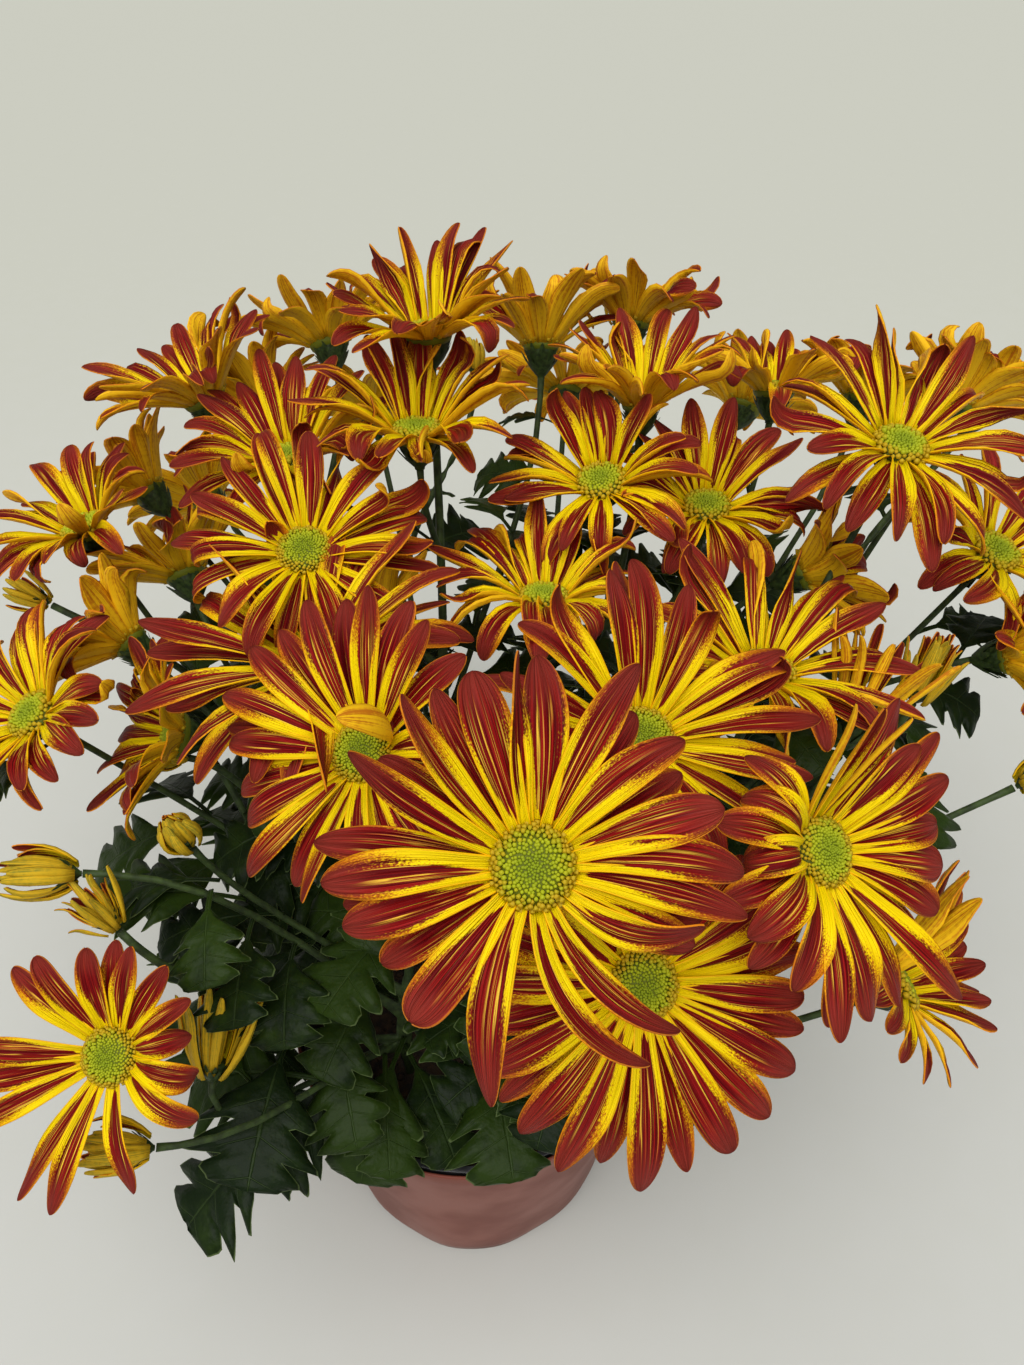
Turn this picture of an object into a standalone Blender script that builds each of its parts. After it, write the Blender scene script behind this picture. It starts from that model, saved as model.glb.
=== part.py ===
"""Potted chrysanthemum: a bushy pot mum in its nursery pot and terracotta-coloured cover.

Metres, +Z up. The origin is the centre of the pot cover's base, on the surface it stands on.
The front of the plant, with the largest heads, faces -Y.
"""
import math

import bmesh
import bpy
from mathutils import Matrix, Vector

MM = 0.001

# Pot cover: a thin tapered shell, closed at the base
COVER_HEIGHT = 105 * MM
COVER_BASE_RADIUS = 57.5 * MM
COVER_RIM_RADIUS = 70 * MM
COVER_WALL = 1.2 * MM

# Grow pot: it stands inside the cover and has a rolled rim and drain holes
CLEARANCE = 0.3 * MM
GROW_WALL = 1.0 * MM
GROW_RIM_HEIGHT = 103.5 * MM
GROW_LIP_WIDTH = 2.4 * MM
GROW_LIP_DEPTH = 4 * MM
DRAIN_HOLE_RADIUS = 4 * MM
DRAIN_CIRCLE_RADIUS = 32 * MM
DRAIN_HOLES = 6
DRAIN_SIDES = 10
POT_SIDES = 40

# Potting mix: it fills the grow pot to a little under the rim, with a socket for each stem
MIX_TOP = 92 * MM
MIX_CROWN = 2 * MM
SOCKET_DEPTH = 18 * MM
SOCKET_GAP = 0.5 * MM
SOCKET_SIDES = 8

# Stems: a stalk forks lower on its main stem the further its head stands out, and no lower
# than LOWEST_FORK. The curve shares say how long each end keeps its own direction.
MAIN_STEM_RADIUS = 2.3 * MM
MAIN_TIP_RADIUS = 1.55 * MM
STALK_FOOT_RADIUS = 1.6 * MM
STALK_RADIUS = 1.4 * MM
STALK_STRAIGHT = 5 * MM
UPRIGHT_FOOT = 4 * MM
MAIN_STEPS = 10
STALK_STEPS = 7
LOWEST_FORK = 112 * MM
FORK_DROP = 28 * MM
FORK_DROP_PER_REACH = 0.75
FOOT_CURVE = 0.35
NECK_CURVE = 0.3
FORK_SPREAD = 0.3
FORK_RISE = 0.28

# Flower heads
HEAD_SIDES = 10
CALYX_DEPTH = 11 * MM
RAY_THICKNESS = 1.6 * MM
# Radius and height of the bract cup's outline, and of the domed centre's, in mm
CALYX_OUTLINE = ((2.2, -11), (6.5, -8.5), (9, -3.5))
DISC_OUTLINE = ((9.5, 0.8), (8, 2.4), (4, 4.4), (0, 5))

# Buds: outline as shares of the radius and the length, above a flat foot
BUD_SIDES = 8
BUD_FOOT_RADIUS = 1.8 * MM
BUD_OUTLINE = ((0.9, 0.2), (1, 0.42), (0.72, 0.8))

# Leaves: a blade on a petiole, with its edges lifted a little to either side of the midrib
LEAF_THICKNESS = 1.2 * MM
PETIOLE_WIDTH = 2.6 * MM
PETIOLE_GAP = 0.6 * MM
LEAF_FOLD = 0.2
MIDRIB_STEPS = 40

GREEN = (0.03, 0.07, 0.02, 1)
RAY_RED = (0.55, 0.12, 0.03, 1)
BUD_YELLOW = (0.55, 0.42, 0.06, 1)
TERRACOTTA = (0.36, 0.15, 0.11, 1)
BLACK = (0.012, 0.012, 0.013, 1)
MIX_BROWN = (0.03, 0.02, 0.014, 1)

# One shoot for each rooted cutting: where it leaves the mix (x, y in mm) and the head its main
# stem ends in
SHOOTS = {
    "shoot_1": ((6, -30), "flower_06"),
    "shoot_2": ((34, -6), "flower_31"),
    "shoot_3": ((22, 26), "flower_21"),
    "shoot_4": ((-10, 34), "flower_12"),
    "shoot_5": ((-36, 8), "flower_30"),
    "shoot_6": ((-24, -24), "flower_05"),
}

# Open heads: centre x, y, z (mm), compass direction it leans towards and lean from upright
# (degrees), radius of the ray dish and its rise at the rim (mm), shoot that carries it
HEADS = {
    "flower_01": (20, -96, 314, -90, 36, 36, 5, "shoot_1"),
    "flower_02": (46, -88, 260, -80, 48, 33, 4, "shoot_1"),
    "flower_03": (86, -70, 286, -45, 42, 32, 5, "shoot_1"),
    "flower_04": (-46, 35, 296, -80, 22, 28, 5, "shoot_5"),
    "flower_05": (-23, -31, 278, -115, 32, 28, 4, "shoot_6"),
    "flower_06": (48, -39, 291, -70, 22, 30, 5, "shoot_1"),
    "flower_07": (26, 40, 274, 80, 14, 32, 6, "shoot_3"),
    "flower_08": (83, 83, 281, -90, 4, 22, 4, "shoot_3"),
    "flower_09": (46, 81, 292, -130, 14, 17, 3, "shoot_3"),
    "flower_10": (132, 56, 319, -60, 12, 36, 5, "shoot_2"),
    "flower_11": (175, 60, 278, -40, 20, 32, 4, "shoot_2"),
    "flower_12": (-11, 103, 334, 100, 12, 32, 7, "shoot_4"),
    "flower_13": (-14, 74, 314, 100, 8, 20, 4, "shoot_4"),
    "flower_14": (-58, 80, 301, 140, 8, 22, 5, "shoot_4"),
    "flower_15": (-133, 82, 273, 170, 20, 27, 6, "shoot_5"),
    "flower_16": (-134, 13, 249, -150, 30, 33, 5, "shoot_5"),
    "flower_17": (-114, 49, 249, 150, 60, 13, 12, "shoot_5"),
    "flower_18": (-93, 117, 305, 150, 25, 33, 8, "shoot_4"),
    "flower_19": (27, 152, 309, 90, 35, 22, 10, "shoot_4"),
    "flower_20": (62, 165, 313, 70, 30, 26, 8, "shoot_3"),
    "flower_21": (61, 110, 306, 90, 20, 28, 9, "shoot_3"),
    "flower_22": (115, 141, 296, 80, 25, 20, 5, "shoot_3"),
    "flower_23": (149, 140, 293, 60, 40, 17, 5, "shoot_3"),
    "flower_24": (179, 128, 297, 50, 45, 20, 7, "shoot_2"),
    "flower_25": (120, 4, 257, 50, 30, 11, 3, "shoot_2"),
    "flower_26": (116, 68, 265, 0, 60, 14, 18, "shoot_2"),
    "flower_27": (-30, 55, 255, 100, 45, 11, 7, "shoot_4"),
    "flower_28": (-103, 84, 252, 120, 55, 13, 12, "shoot_5"),
    "flower_29": (-123, 121, 264, 140, 60, 14, 12, "shoot_4"),
    "flower_30": (-41, 4, 279, -140, 15, 20, 4, "shoot_5"),
    "flower_31": (92, 11, 269, 30, 8, 22, 4, "shoot_2"),
    "flower_32": (-94, 20, 234, -160, 60, 18, 14, "shoot_5"),
    "flower_33": (-97, -74, 200, -100, 40, 35, 3, "shoot_6"),
    "flower_34": (40, 205, 265, 85, 55, 32, 5, "shoot_3"),
    "flower_35": (-45, 190, 262, 110, 50, 32, 5, "shoot_4"),
    "flower_36": (129, -54, 204, 10, 60, 26, 10, "shoot_1"),
}

# Buds: base x, y, z (mm), direction and lean (degrees), radius and length (mm), shoot
BUDS = {
    "bud_1": (141, 14, 254, 40, 15, 8, 20, "shoot_2"),
    "bud_2": (177, 2, 228, 10, 60, 7, 14, "shoot_2"),
    "bud_3": (-84, -16, 220, -150, 15, 7, 14, "shoot_6"),
    "bud_4": (-113, -29, 224, -170, 80, 7.5, 20, "shoot_6"),
    "bud_5": (-91, -84, 163, -170, 75, 7.5, 18, "shoot_6"),
    "bud_6": (-79, -62, 162, 75, 35, 9, 32, "shoot_6"),
    "bud_7": (169, 39, 250, -30, 60, 9, 30, "shoot_2"),
}

# Leaves: the stalk or main stem that carries it and how far along (0 to 1), the direction it
# points to, its slope at the stem and at the tip (degrees up), blade length and widest half
# width (mm)
LEAVES = {
    "leaf_1": ("bud_5", 0.5, -140, -22, -40, 50, 19),
    "leaf_2": ("shoot_6", 0.2, -105, 18, -52, 54, 20),
    "leaf_3": ("shoot_1", 0.2, -80, 35, -35, 50, 19),
    "leaf_4": ("shoot_2", 0.18, -60, 30, -35, 52, 20),
    "leaf_5": ("shoot_5", 0.2, 175, 20, -50, 60, 22),
    "leaf_6": ("shoot_4", 0.12, 125, 20, -50, 62, 23),
    "leaf_7": ("shoot_3", 0.2, 50, 20, -50, 62, 23),
    "leaf_8": ("flower_16", 0.5, -170, -5, -50, 50, 19),
}

# Half width of a leaf along its length, as fractions of the blade: lobes and the notches between
LEAF_OUTLINE = (
    (0.0, 0.05),
    (0.14, 0.35),
    (0.28, 0.95),
    (0.4, 0.5),
    (0.58, 1.0),
    (0.68, 0.45),
    (0.86, 0.4),
    (1.0, 0.06),
)
PETIOLE_SHARE = 0.28


def clear_scene():
    """Start from an empty scene."""
    for item in list(bpy.data.objects):
        bpy.data.objects.remove(item, do_unlink=True)


def make_material(name, colour, roughness):
    """A plain finish for one sub-part."""
    material = bpy.data.materials.new(name)
    material.use_nodes = True
    shader = material.node_tree.nodes["Principled BSDF"]
    shader.inputs["Base Color"].default_value = colour
    shader.inputs["Roughness"].default_value = roughness
    shader.inputs["Metallic"].default_value = 0
    return material


def make_object(name, mesh, colour, roughness):
    """One named object with its own finish, shaded smooth except at its sharp edges."""
    mesh.shade_smooth()
    mesh.set_sharp_from_angle(angle=math.radians(40))
    mesh.materials.append(make_material(name, colour, roughness))
    item = bpy.data.objects.new(name, mesh)
    bpy.context.scene.collection.objects.link(item)
    return item


def turned_mesh(name, profile, sides):
    """A closed solid turned about Z from (radius, height) points that start and end on the axis
    or at a flat cap."""
    bm = bmesh.new()
    points = [bm.verts.new((radius, 0, height)) for radius, height in profile]
    edges = [bm.edges.new(pair) for pair in zip(points, points[1:])]
    bmesh.ops.spin(
        bm,
        geom=points + edges,
        cent=(0, 0, 0),
        axis=(0, 0, 1),
        angle=2 * math.pi,
        steps=sides,
        use_merge=True,
    )
    bmesh.ops.remove_doubles(bm, verts=bm.verts, dist=0.01 * MM)
    bmesh.ops.holes_fill(bm, edges=bm.edges, sides=0)
    bmesh.ops.recalc_face_normals(bm, faces=bm.faces)
    mesh = bpy.data.meshes.new(name)
    bm.to_mesh(mesh)
    bm.free()
    return mesh


def lean_matrix(place, towards, lean):
    """Turns +Z to a lean from upright in a compass direction, at a place in mm."""
    turn = Matrix.Rotation(math.radians(towards), 4, "Z") @ Matrix.Rotation(math.radians(lean), 4, "Y")
    return Matrix.Translation(Vector(place) * MM) @ turn


def cut(item, cutter):
    """Take the cutter's volume out of the item."""
    cutter.hide_render = True
    cutter.display_type = "WIRE"
    modifier = item.modifiers.new(cutter.name, "BOOLEAN")
    modifier.operation = "DIFFERENCE"
    modifier.solver = "EXACT"
    modifier.object = cutter


def cylinders(name, places, radius, low, high, sides):
    """A helper object of upright cylinders at x, y places."""
    bm = bmesh.new()
    for x, y in places:
        middle = Matrix.Translation((x, y, (low + high) / 2))
        bmesh.ops.create_cone(
            bm,
            cap_ends=True,
            segments=sides,
            radius1=radius,
            radius2=radius,
            depth=high - low,
            matrix=middle,
        )
    mesh = bpy.data.meshes.new(name)
    bm.to_mesh(mesh)
    bm.free()
    item = bpy.data.objects.new(name, mesh)
    bpy.context.scene.collection.objects.link(item)
    return item


def cover_radius(height):
    """The cover's outer radius at a height."""
    return COVER_BASE_RADIUS + (COVER_RIM_RADIUS - COVER_BASE_RADIUS) * height / COVER_HEIGHT


def grow_radius(height):
    """The grow pot's outer radius at a height: its lip just clears the cover's wall."""
    return cover_radius(height) - COVER_WALL - CLEARANCE - GROW_LIP_WIDTH


def build_cover():
    """The outer pot: base, tapered wall and a plain rim."""
    inner_base = cover_radius(COVER_WALL) - COVER_WALL
    profile = [
        (0, COVER_WALL),
        (inner_base, COVER_WALL),
        (COVER_RIM_RADIUS - COVER_WALL, COVER_HEIGHT),
        (COVER_RIM_RADIUS, COVER_HEIGHT),
        (COVER_BASE_RADIUS, 0),
        (0, 0),
    ]
    make_object("pot_cover", turned_mesh("pot_cover", profile, POT_SIDES), TERRACOTTA, 0.45)


def build_grow_pot():
    """The nursery pot: drain holes in its floor, a rim rolled outwards at its top."""
    floor_low = COVER_WALL + CLEARANCE
    floor_high = floor_low + GROW_WALL
    lip_low = GROW_RIM_HEIGHT - GROW_LIP_DEPTH
    lip_radius = grow_radius(lip_low) + GROW_LIP_WIDTH - CLEARANCE
    profile = [
        (0, floor_high),
        (grow_radius(floor_high) - GROW_WALL, floor_high),
        (grow_radius(GROW_RIM_HEIGHT) - GROW_WALL, GROW_RIM_HEIGHT),
        (lip_radius, GROW_RIM_HEIGHT),
        (lip_radius, lip_low),
        (grow_radius(lip_low), lip_low),
        (grow_radius(floor_low), floor_low),
        (0, floor_low),
    ]
    pot = make_object("grow_pot", turned_mesh("grow_pot", profile, POT_SIDES), BLACK, 0.5)
    angles = [2 * math.pi * index / DRAIN_HOLES for index in range(DRAIN_HOLES)]
    places = [(DRAIN_CIRCLE_RADIUS * math.cos(a), DRAIN_CIRCLE_RADIUS * math.sin(a)) for a in angles]
    cut(pot, cylinders("drain_holes", places, DRAIN_HOLE_RADIUS, 0, 2 * floor_high, DRAIN_SIDES))


def build_mix():
    """The growing medium, with a socket for each stem."""
    low = COVER_WALL + 2 * CLEARANCE + GROW_WALL
    inset = GROW_WALL + CLEARANCE
    profile = [
        (0, MIX_TOP + MIX_CROWN),
        (grow_radius(MIX_TOP) / 2, MIX_TOP + MIX_CROWN * 3 / 4),
        (grow_radius(MIX_TOP) - inset, MIX_TOP),
        (grow_radius(low) - inset, low),
        (0, low),
    ]
    mix = make_object("potting_mix", turned_mesh("potting_mix", profile, POT_SIDES), MIX_BROWN, 0.95)
    places = [(x * MM, y * MM) for (x, y), leader in SHOOTS.values()]
    socket_radius = MAIN_STEM_RADIUS + SOCKET_GAP
    low_end = MIX_TOP - SOCKET_DEPTH - CLEARANCE
    top_end = MIX_TOP + SOCKET_DEPTH
    cut(mix, cylinders("stem_sockets", places, socket_radius, low_end, top_end, SOCKET_SIDES))


def build_head(name, row):
    """One open head: bract cup, shallow dish of rays and domed centre, as a turned solid."""
    x, y, z, towards, lean, radius, rise, shoot = row
    half = RAY_THICKNESS / 2
    rim = [(radius * MM, rise * MM - half), (radius * MM, rise * MM + half)]
    cup = [(across * MM, height * MM) for across, height in CALYX_OUTLINE]
    disc = [(across * MM, height * MM) for across, height in DISC_OUTLINE]
    profile = [(0, -CALYX_DEPTH)] + cup + rim + disc
    mesh = turned_mesh(name, profile, HEAD_SIDES)
    mesh.transform(lean_matrix((x, y, z), towards, lean))
    make_object(name, mesh, RAY_RED, 0.5)


def build_bud(name, row):
    """One bud: a small bract cup under a pointed egg of packed rays."""
    x, y, z, towards, lean, radius, length, shoot = row
    sides = [(radius * across * MM, length * height * MM) for across, height in BUD_OUTLINE]
    profile = [(0, 0), (BUD_FOOT_RADIUS, 0)] + sides + [(0, length * MM)]
    mesh = turned_mesh(name, profile, BUD_SIDES)
    mesh.transform(lean_matrix((x, y, z), towards, lean))
    make_object(name, mesh, BUD_YELLOW, 0.5)


def bezier(start, start_handle, end_handle, end, steps):
    """Points along one cubic curve."""
    points = []
    for step in range(steps + 1):
        t = step / steps
        s = 1 - t
        weights = (s * s * s, 3 * s * s * t, 3 * s * t * t, t * t * t)
        corners = (start, start_handle, end_handle, end)
        points.append(sum((corner * weight for corner, weight in zip(corners, weights)), Vector()))
    return points


def along(points, share):
    """The point at a share of a route, and the direction there."""
    place = share * (len(points) - 1)
    index = min(int(place), len(points) - 2)
    step = points[index + 1] - points[index]
    return points[index] + step * (place - index), step.normalized()


def organ_end(name):
    """Where the stalk of a head or bud ends, just short of it, and the way the organ faces."""
    if name in HEADS:
        x, y, z, towards, lean, radius, rise, shoot = HEADS[name]
        depth = CALYX_DEPTH
    else:
        x, y, z, towards, lean, radius, length, shoot = BUDS[name]
        depth = 0
    matrix = lean_matrix((x, y, z), towards, lean)
    facing = (matrix.to_3x3() @ Vector((0, 0, 1))).normalized()
    return matrix.translation - facing * (depth + CLEARANCE), facing


def main_route(shoot):
    """The main stem: straight up out of the mix, then over to its leading head."""
    (x, y), leader = SHOOTS[shoot]
    foot = Vector((x * MM, y * MM, MIX_TOP - SOCKET_DEPTH))
    surface = Vector((x * MM, y * MM, MIX_TOP + UPRIGHT_FOOT))
    end, facing = organ_end(leader)
    neck = end - facing * STALK_STRAIGHT
    rise = neck.z - surface.z
    handle = surface + Vector((0, 0, rise * FOOT_CURVE))
    curve = bezier(surface, handle, neck - facing * rise * NECK_CURVE, neck, MAIN_STEPS)
    return [foot] + curve + [end]


def stalk_route(name, main):
    """A side stalk: it forks from the main stem low enough to rise to its head."""
    end, facing = organ_end(name)
    neck = end - facing * STALK_STRAIGHT

    def miss(share):
        point = along(main, share)[0]
        reach = (neck - point).xy.length
        wanted = max(LOWEST_FORK, neck.z - FORK_DROP_PER_REACH * reach - FORK_DROP)
        return abs(point.z - wanted)

    share = min((step / 100 for step in range(10, 80)), key=miss)
    fork, direction = along(main, share)
    span = neck - fork
    outward = Vector((span.x, span.y, 0)) * FORK_SPREAD + Vector((0, 0, span.length * FORK_RISE))
    handle = neck - facing * span.length * NECK_CURVE
    return bezier(fork, fork + outward, handle, neck, STALK_STEPS) + [end]


def tube(name, points, radius_start, radius_end):
    """A closed tube along a route, tapering from start to end."""
    data = bpy.data.curves.new(name, "CURVE")
    data.dimensions = "3D"
    data.bevel_depth = 1
    data.bevel_resolution = 1
    data.use_fill_caps = True
    data.twist_mode = "MINIMUM"
    spline = data.splines.new("POLY")
    spline.points.add(len(points) - 1)
    for index, point in enumerate(points):
        share = index / (len(points) - 1)
        spline.points[index].co = (point.x, point.y, point.z, 1)
        spline.points[index].radius = radius_start + (radius_end - radius_start) * share
    item = bpy.data.objects.new(name, data)
    bpy.context.scene.collection.objects.link(item)
    graph = bpy.context.evaluated_depsgraph_get()
    mesh = bpy.data.meshes.new_from_object(item.evaluated_get(graph))
    bpy.data.objects.remove(item, do_unlink=True)
    return mesh


def build_shoot(shoot, routes):
    """One branching stem, its tubes joined in a single solid."""
    main = main_route(shoot)
    routes[shoot] = main
    mesh = tube(shoot, main, MAIN_STEM_RADIUS, MAIN_TIP_RADIUS)
    item = make_object(shoot, mesh, GREEN, 0.6)
    leader = SHOOTS[shoot][1]
    carried = [name for name, row in {**HEADS, **BUDS}.items() if row[-1] == shoot and name != leader]
    for name in carried:
        routes[name] = stalk_route(name, main)
        stalk = tube(name + "_stalk", routes[name], STALK_FOOT_RADIUS, STALK_RADIUS)
        helper = bpy.data.objects.new(name + "_stalk", stalk)
        bpy.context.scene.collection.objects.link(helper)
        helper.hide_render = True
        helper.display_type = "WIRE"
        union = item.modifiers.new(name, "BOOLEAN")
        union.operation = "UNION"
        union.solver = "EXACT"
        union.object = helper


def leaf_line(start, towards, slope_start, slope_end, length, steps):
    """Points down the middle of a leaf as its slope falls from stem to tip."""
    heading = Vector((math.cos(math.radians(towards)), math.sin(math.radians(towards)), 0))
    points = [start.copy()]
    for step in range(steps):
        slope = math.radians(slope_start + (slope_end - slope_start) * (step + 0.5) / steps)
        move = heading * math.cos(slope) + Vector((0, 0, math.sin(slope)))
        points.append(points[-1] + move * (length / steps))
    return points


def build_leaf(name, row, routes):
    """One lobed leaf: a thin blade and its petiole, bent along the midrib."""
    carrier, share, towards, slope_start, slope_end, length, half_width = row
    centre, direction = along(routes[carrier], share)
    heading = Vector((math.cos(math.radians(towards)), math.sin(math.radians(towards)), 0))
    radius = MAIN_STEM_RADIUS if carrier in SHOOTS else STALK_FOOT_RADIUS
    side = direction.cross(heading).normalized()
    out = side.cross(direction).normalized()
    start = centre + out * (radius + PETIOLE_GAP)
    across = Vector((-heading.y, heading.x, 0))
    line = leaf_line(start, towards, slope_start, slope_end, length * MM, MIDRIB_STEPS)
    stations = [(0.0, PETIOLE_WIDTH / 2)]
    for place, width in LEAF_OUTLINE:
        half = max(width * half_width * MM, PETIOLE_WIDTH / 2)
        stations.append((PETIOLE_SHARE + (1 - PETIOLE_SHARE) * place, half))
    bm = bmesh.new()
    rows = []
    for place, half in stations:
        middle = line[round(place * MIDRIB_STEPS)]
        lift = Vector((0, 0, half * LEAF_FOLD))
        edges = (middle - across * half + lift, middle, middle + across * half + lift)
        rows.append([bm.verts.new(point) for point in edges])
    for near, far in zip(rows, rows[1:]):
        for index in range(2):
            bm.faces.new((near[index], near[index + 1], far[index + 1], far[index]))
    mesh = bpy.data.meshes.new(name)
    bm.to_mesh(mesh)
    bm.free()
    leaf = make_object(name, mesh, GREEN, 0.55)
    solidify = leaf.modifiers.new("thickness", "SOLIDIFY")
    solidify.thickness = LEAF_THICKNESS
    solidify.offset = 0


def main():
    """Build every piece of the plant and its pot."""
    clear_scene()
    build_cover()
    build_grow_pot()
    build_mix()
    routes = {}
    for shoot in SHOOTS:
        build_shoot(shoot, routes)
    for name, row in HEADS.items():
        build_head(name, row)
    for name, row in BUDS.items():
        build_bud(name, row)
    for name, row in LEAVES.items():
        build_leaf(name, row, routes)


main()
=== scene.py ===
# %% [markdown]
# # A potted chrysanthemum in bloom
# A bushy pot chrysanthemum stands in a black nursery pot inside a terracotta-coloured cover. The plant's
# measured solids come from the frame: where each head sits and faces, where each stem runs, how big the pot
# is. They are plain turned shapes, so the frame could be shown with better paint, but a flower is mostly
# loose straps of petal. So each measured solid is only read for its place, and a modelled piece takes over.

# %% Open the measured frame
import math
import random

import bmesh
import bpy
from mathutils import Matrix, Vector, noise


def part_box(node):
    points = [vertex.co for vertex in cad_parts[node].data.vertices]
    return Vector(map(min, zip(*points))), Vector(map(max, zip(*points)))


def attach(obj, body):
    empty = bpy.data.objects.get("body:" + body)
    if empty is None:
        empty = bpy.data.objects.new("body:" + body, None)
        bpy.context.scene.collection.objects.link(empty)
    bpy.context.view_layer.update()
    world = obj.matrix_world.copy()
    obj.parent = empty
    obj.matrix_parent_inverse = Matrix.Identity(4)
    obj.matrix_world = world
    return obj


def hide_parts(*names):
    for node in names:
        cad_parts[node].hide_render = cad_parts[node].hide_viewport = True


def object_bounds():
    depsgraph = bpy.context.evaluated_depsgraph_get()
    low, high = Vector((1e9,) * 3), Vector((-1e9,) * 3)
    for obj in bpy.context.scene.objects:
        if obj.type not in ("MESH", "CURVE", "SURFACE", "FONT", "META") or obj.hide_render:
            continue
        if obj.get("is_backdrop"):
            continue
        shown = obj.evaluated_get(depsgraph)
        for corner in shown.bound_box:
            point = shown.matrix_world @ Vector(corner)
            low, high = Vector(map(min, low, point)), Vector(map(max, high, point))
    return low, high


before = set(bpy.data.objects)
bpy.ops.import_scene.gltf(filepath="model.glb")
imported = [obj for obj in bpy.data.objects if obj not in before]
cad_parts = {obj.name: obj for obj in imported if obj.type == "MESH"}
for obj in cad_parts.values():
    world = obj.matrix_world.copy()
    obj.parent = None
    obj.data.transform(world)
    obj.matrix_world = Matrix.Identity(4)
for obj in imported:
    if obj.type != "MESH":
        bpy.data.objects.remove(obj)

MM = 0.001
BODY = "root"
measured_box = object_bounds()
print("pieces in the frame:", len(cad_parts))

# %% [markdown]
# ## Camera
# The plant is seen from above and in front, from close by, so the nearest head looks very large. A long lens
# from far away would flatten that. The camera therefore stands half a metre off with a wide lens, looks
# straight along the floor's depth and is pitched down, which keeps upright things upright in the middle.

# %% Place the camera
CAMERA_PLACE = (0.016, -0.214, 0.467)
CAMERA_PITCH = 41.9
SENSOR_WIDTH = 36
LONG_SIDE_PX = 1365
FOCAL_LENGTH_PX = 1000

camera_data = bpy.data.cameras.new("camera")
camera_data.sensor_width = SENSOR_WIDTH
camera_data.lens = SENSOR_WIDTH * FOCAL_LENGTH_PX / LONG_SIDE_PX
camera_data.clip_start = 0.01
camera = bpy.data.objects.new("camera", camera_data)
camera.location = CAMERA_PLACE
camera.rotation_euler = (math.radians(90 - CAMERA_PITCH), 0, 0)
bpy.context.scene.collection.objects.link(camera)
bpy.context.scene.camera = camera
print("lens in mm:", round(camera_data.lens, 2))

# %% [markdown]
# ## Light
# Soft light from a large bright ceiling shows petals best: every fold gets a gentle shade and nothing burns
# out. A small lamp would throw hard petal shadows. A sun lamp with a very wide disc is such a ceiling, and it
# lights the floor evenly to the far edge, which a lamp of any size near the plant can't. A pale sky fills in.

# %% Hang the light and set the sky
CEILING_DISC = 76
CEILING_LEAN = (24, -6)
CEILING_STRENGTH = 3.4
SKY = (0.90, 0.90, 0.88, 1)
SKY_STRENGTH = 0.22

scene = bpy.context.scene
scene.view_settings.view_transform = "Standard"
world = bpy.data.worlds.new("sky")
world.use_nodes = True
world.node_tree.nodes["Background"].inputs["Color"].default_value = SKY
world.node_tree.nodes["Background"].inputs["Strength"].default_value = SKY_STRENGTH
scene.world = world
light_data = bpy.data.lights.new("ceiling", "SUN")
light_data.angle = math.radians(CEILING_DISC)
light_data.energy = CEILING_STRENGTH
light = bpy.data.objects.new("ceiling", light_data)
light.rotation_euler = (math.radians(CEILING_LEAN[0]), math.radians(CEILING_LEAN[1]), 0)
scene.collection.objects.link(light)
print("disc of the soft light in degrees:", CEILING_DISC)

# %% [markdown]
# ## A small kit for finishes
# A finish is a tree of shader nodes. Written out in full, each node takes four or five lines, and the idea is
# lost. Four short helpers keep it readable: one makes a node, one feeds a socket, and the others name the sums
# that every finish here needs.

# %% Node helpers
def add_node(tree, kind, **settings):
    """A new shader node with its settings."""
    made = tree.nodes.new("ShaderNode" + kind)
    for name, value in settings.items():
        setattr(made, name, value)
    return made


def feed(tree, socket, value):
    """Give a socket a number or a colour, or link another node's output to it."""
    if isinstance(value, bpy.types.NodeSocket):
        tree.links.new(value, socket)
    else:
        socket.default_value = value


def sum_of(tree, operation, *values):
    """One Math node and its result."""
    made = add_node(tree, "Math", operation=operation)
    for socket, value in zip(made.inputs, values):
        feed(tree, socket, value)
    return made.outputs[0]


def ramp(tree, value, start, end, low=0.0, high=1.0):
    """Smoothly from low to high while the value goes from start to end, which may run downwards."""
    made = add_node(tree, "MapRange", interpolation_type="SMOOTHSTEP")
    for name, part in (("Value", value), ("From Min", start), ("From Max", end), ("To Min", low), ("To Max", high)):
        feed(tree, made.inputs[name], part)
    return made.outputs["Result"]


def curve(tree, value, points):
    """A value read from a curve through the given points."""
    made = add_node(tree, "FloatCurve")
    line = made.mapping.curves[0]
    while len(line.points) < len(points):
        line.points.new(0.5, 0.5)
    for point, place in zip(line.points, points):
        point.location = place
    made.mapping.update()
    feed(tree, made.inputs["Value"], value)
    return made.outputs["Value"]


def blend(tree, share, first, second):
    """Mix two colours."""
    made = add_node(tree, "Mix", data_type="RGBA")
    feed(tree, made.inputs[0], share)
    feed(tree, made.inputs[6], first)
    feed(tree, made.inputs[7], second)
    return made.outputs[2]


def new_finish(name, roughness, gloss=0.5):
    """A material with its Principled shader ready for colour and bump."""
    material = bpy.data.materials.new(name)
    material.use_nodes = True
    tree = material.node_tree
    shader = tree.nodes["Principled BSDF"]
    shader.inputs["Roughness"].default_value = roughness
    shader.inputs["Specular IOR Level"].default_value = gloss
    return material, tree, shader


def raise_surface(tree, shader, height, distance, strength=1.0):
    """Bump the surface by a height pattern; distance is the height of its full range in metres."""
    bump = add_node(tree, "Bump")
    bump.inputs["Strength"].default_value = strength
    bump.inputs["Distance"].default_value = distance
    feed(tree, bump.inputs["Height"], height)
    tree.links.new(bump.outputs["Normal"], shader.inputs["Normal"])


print("node helpers ready")

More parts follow.
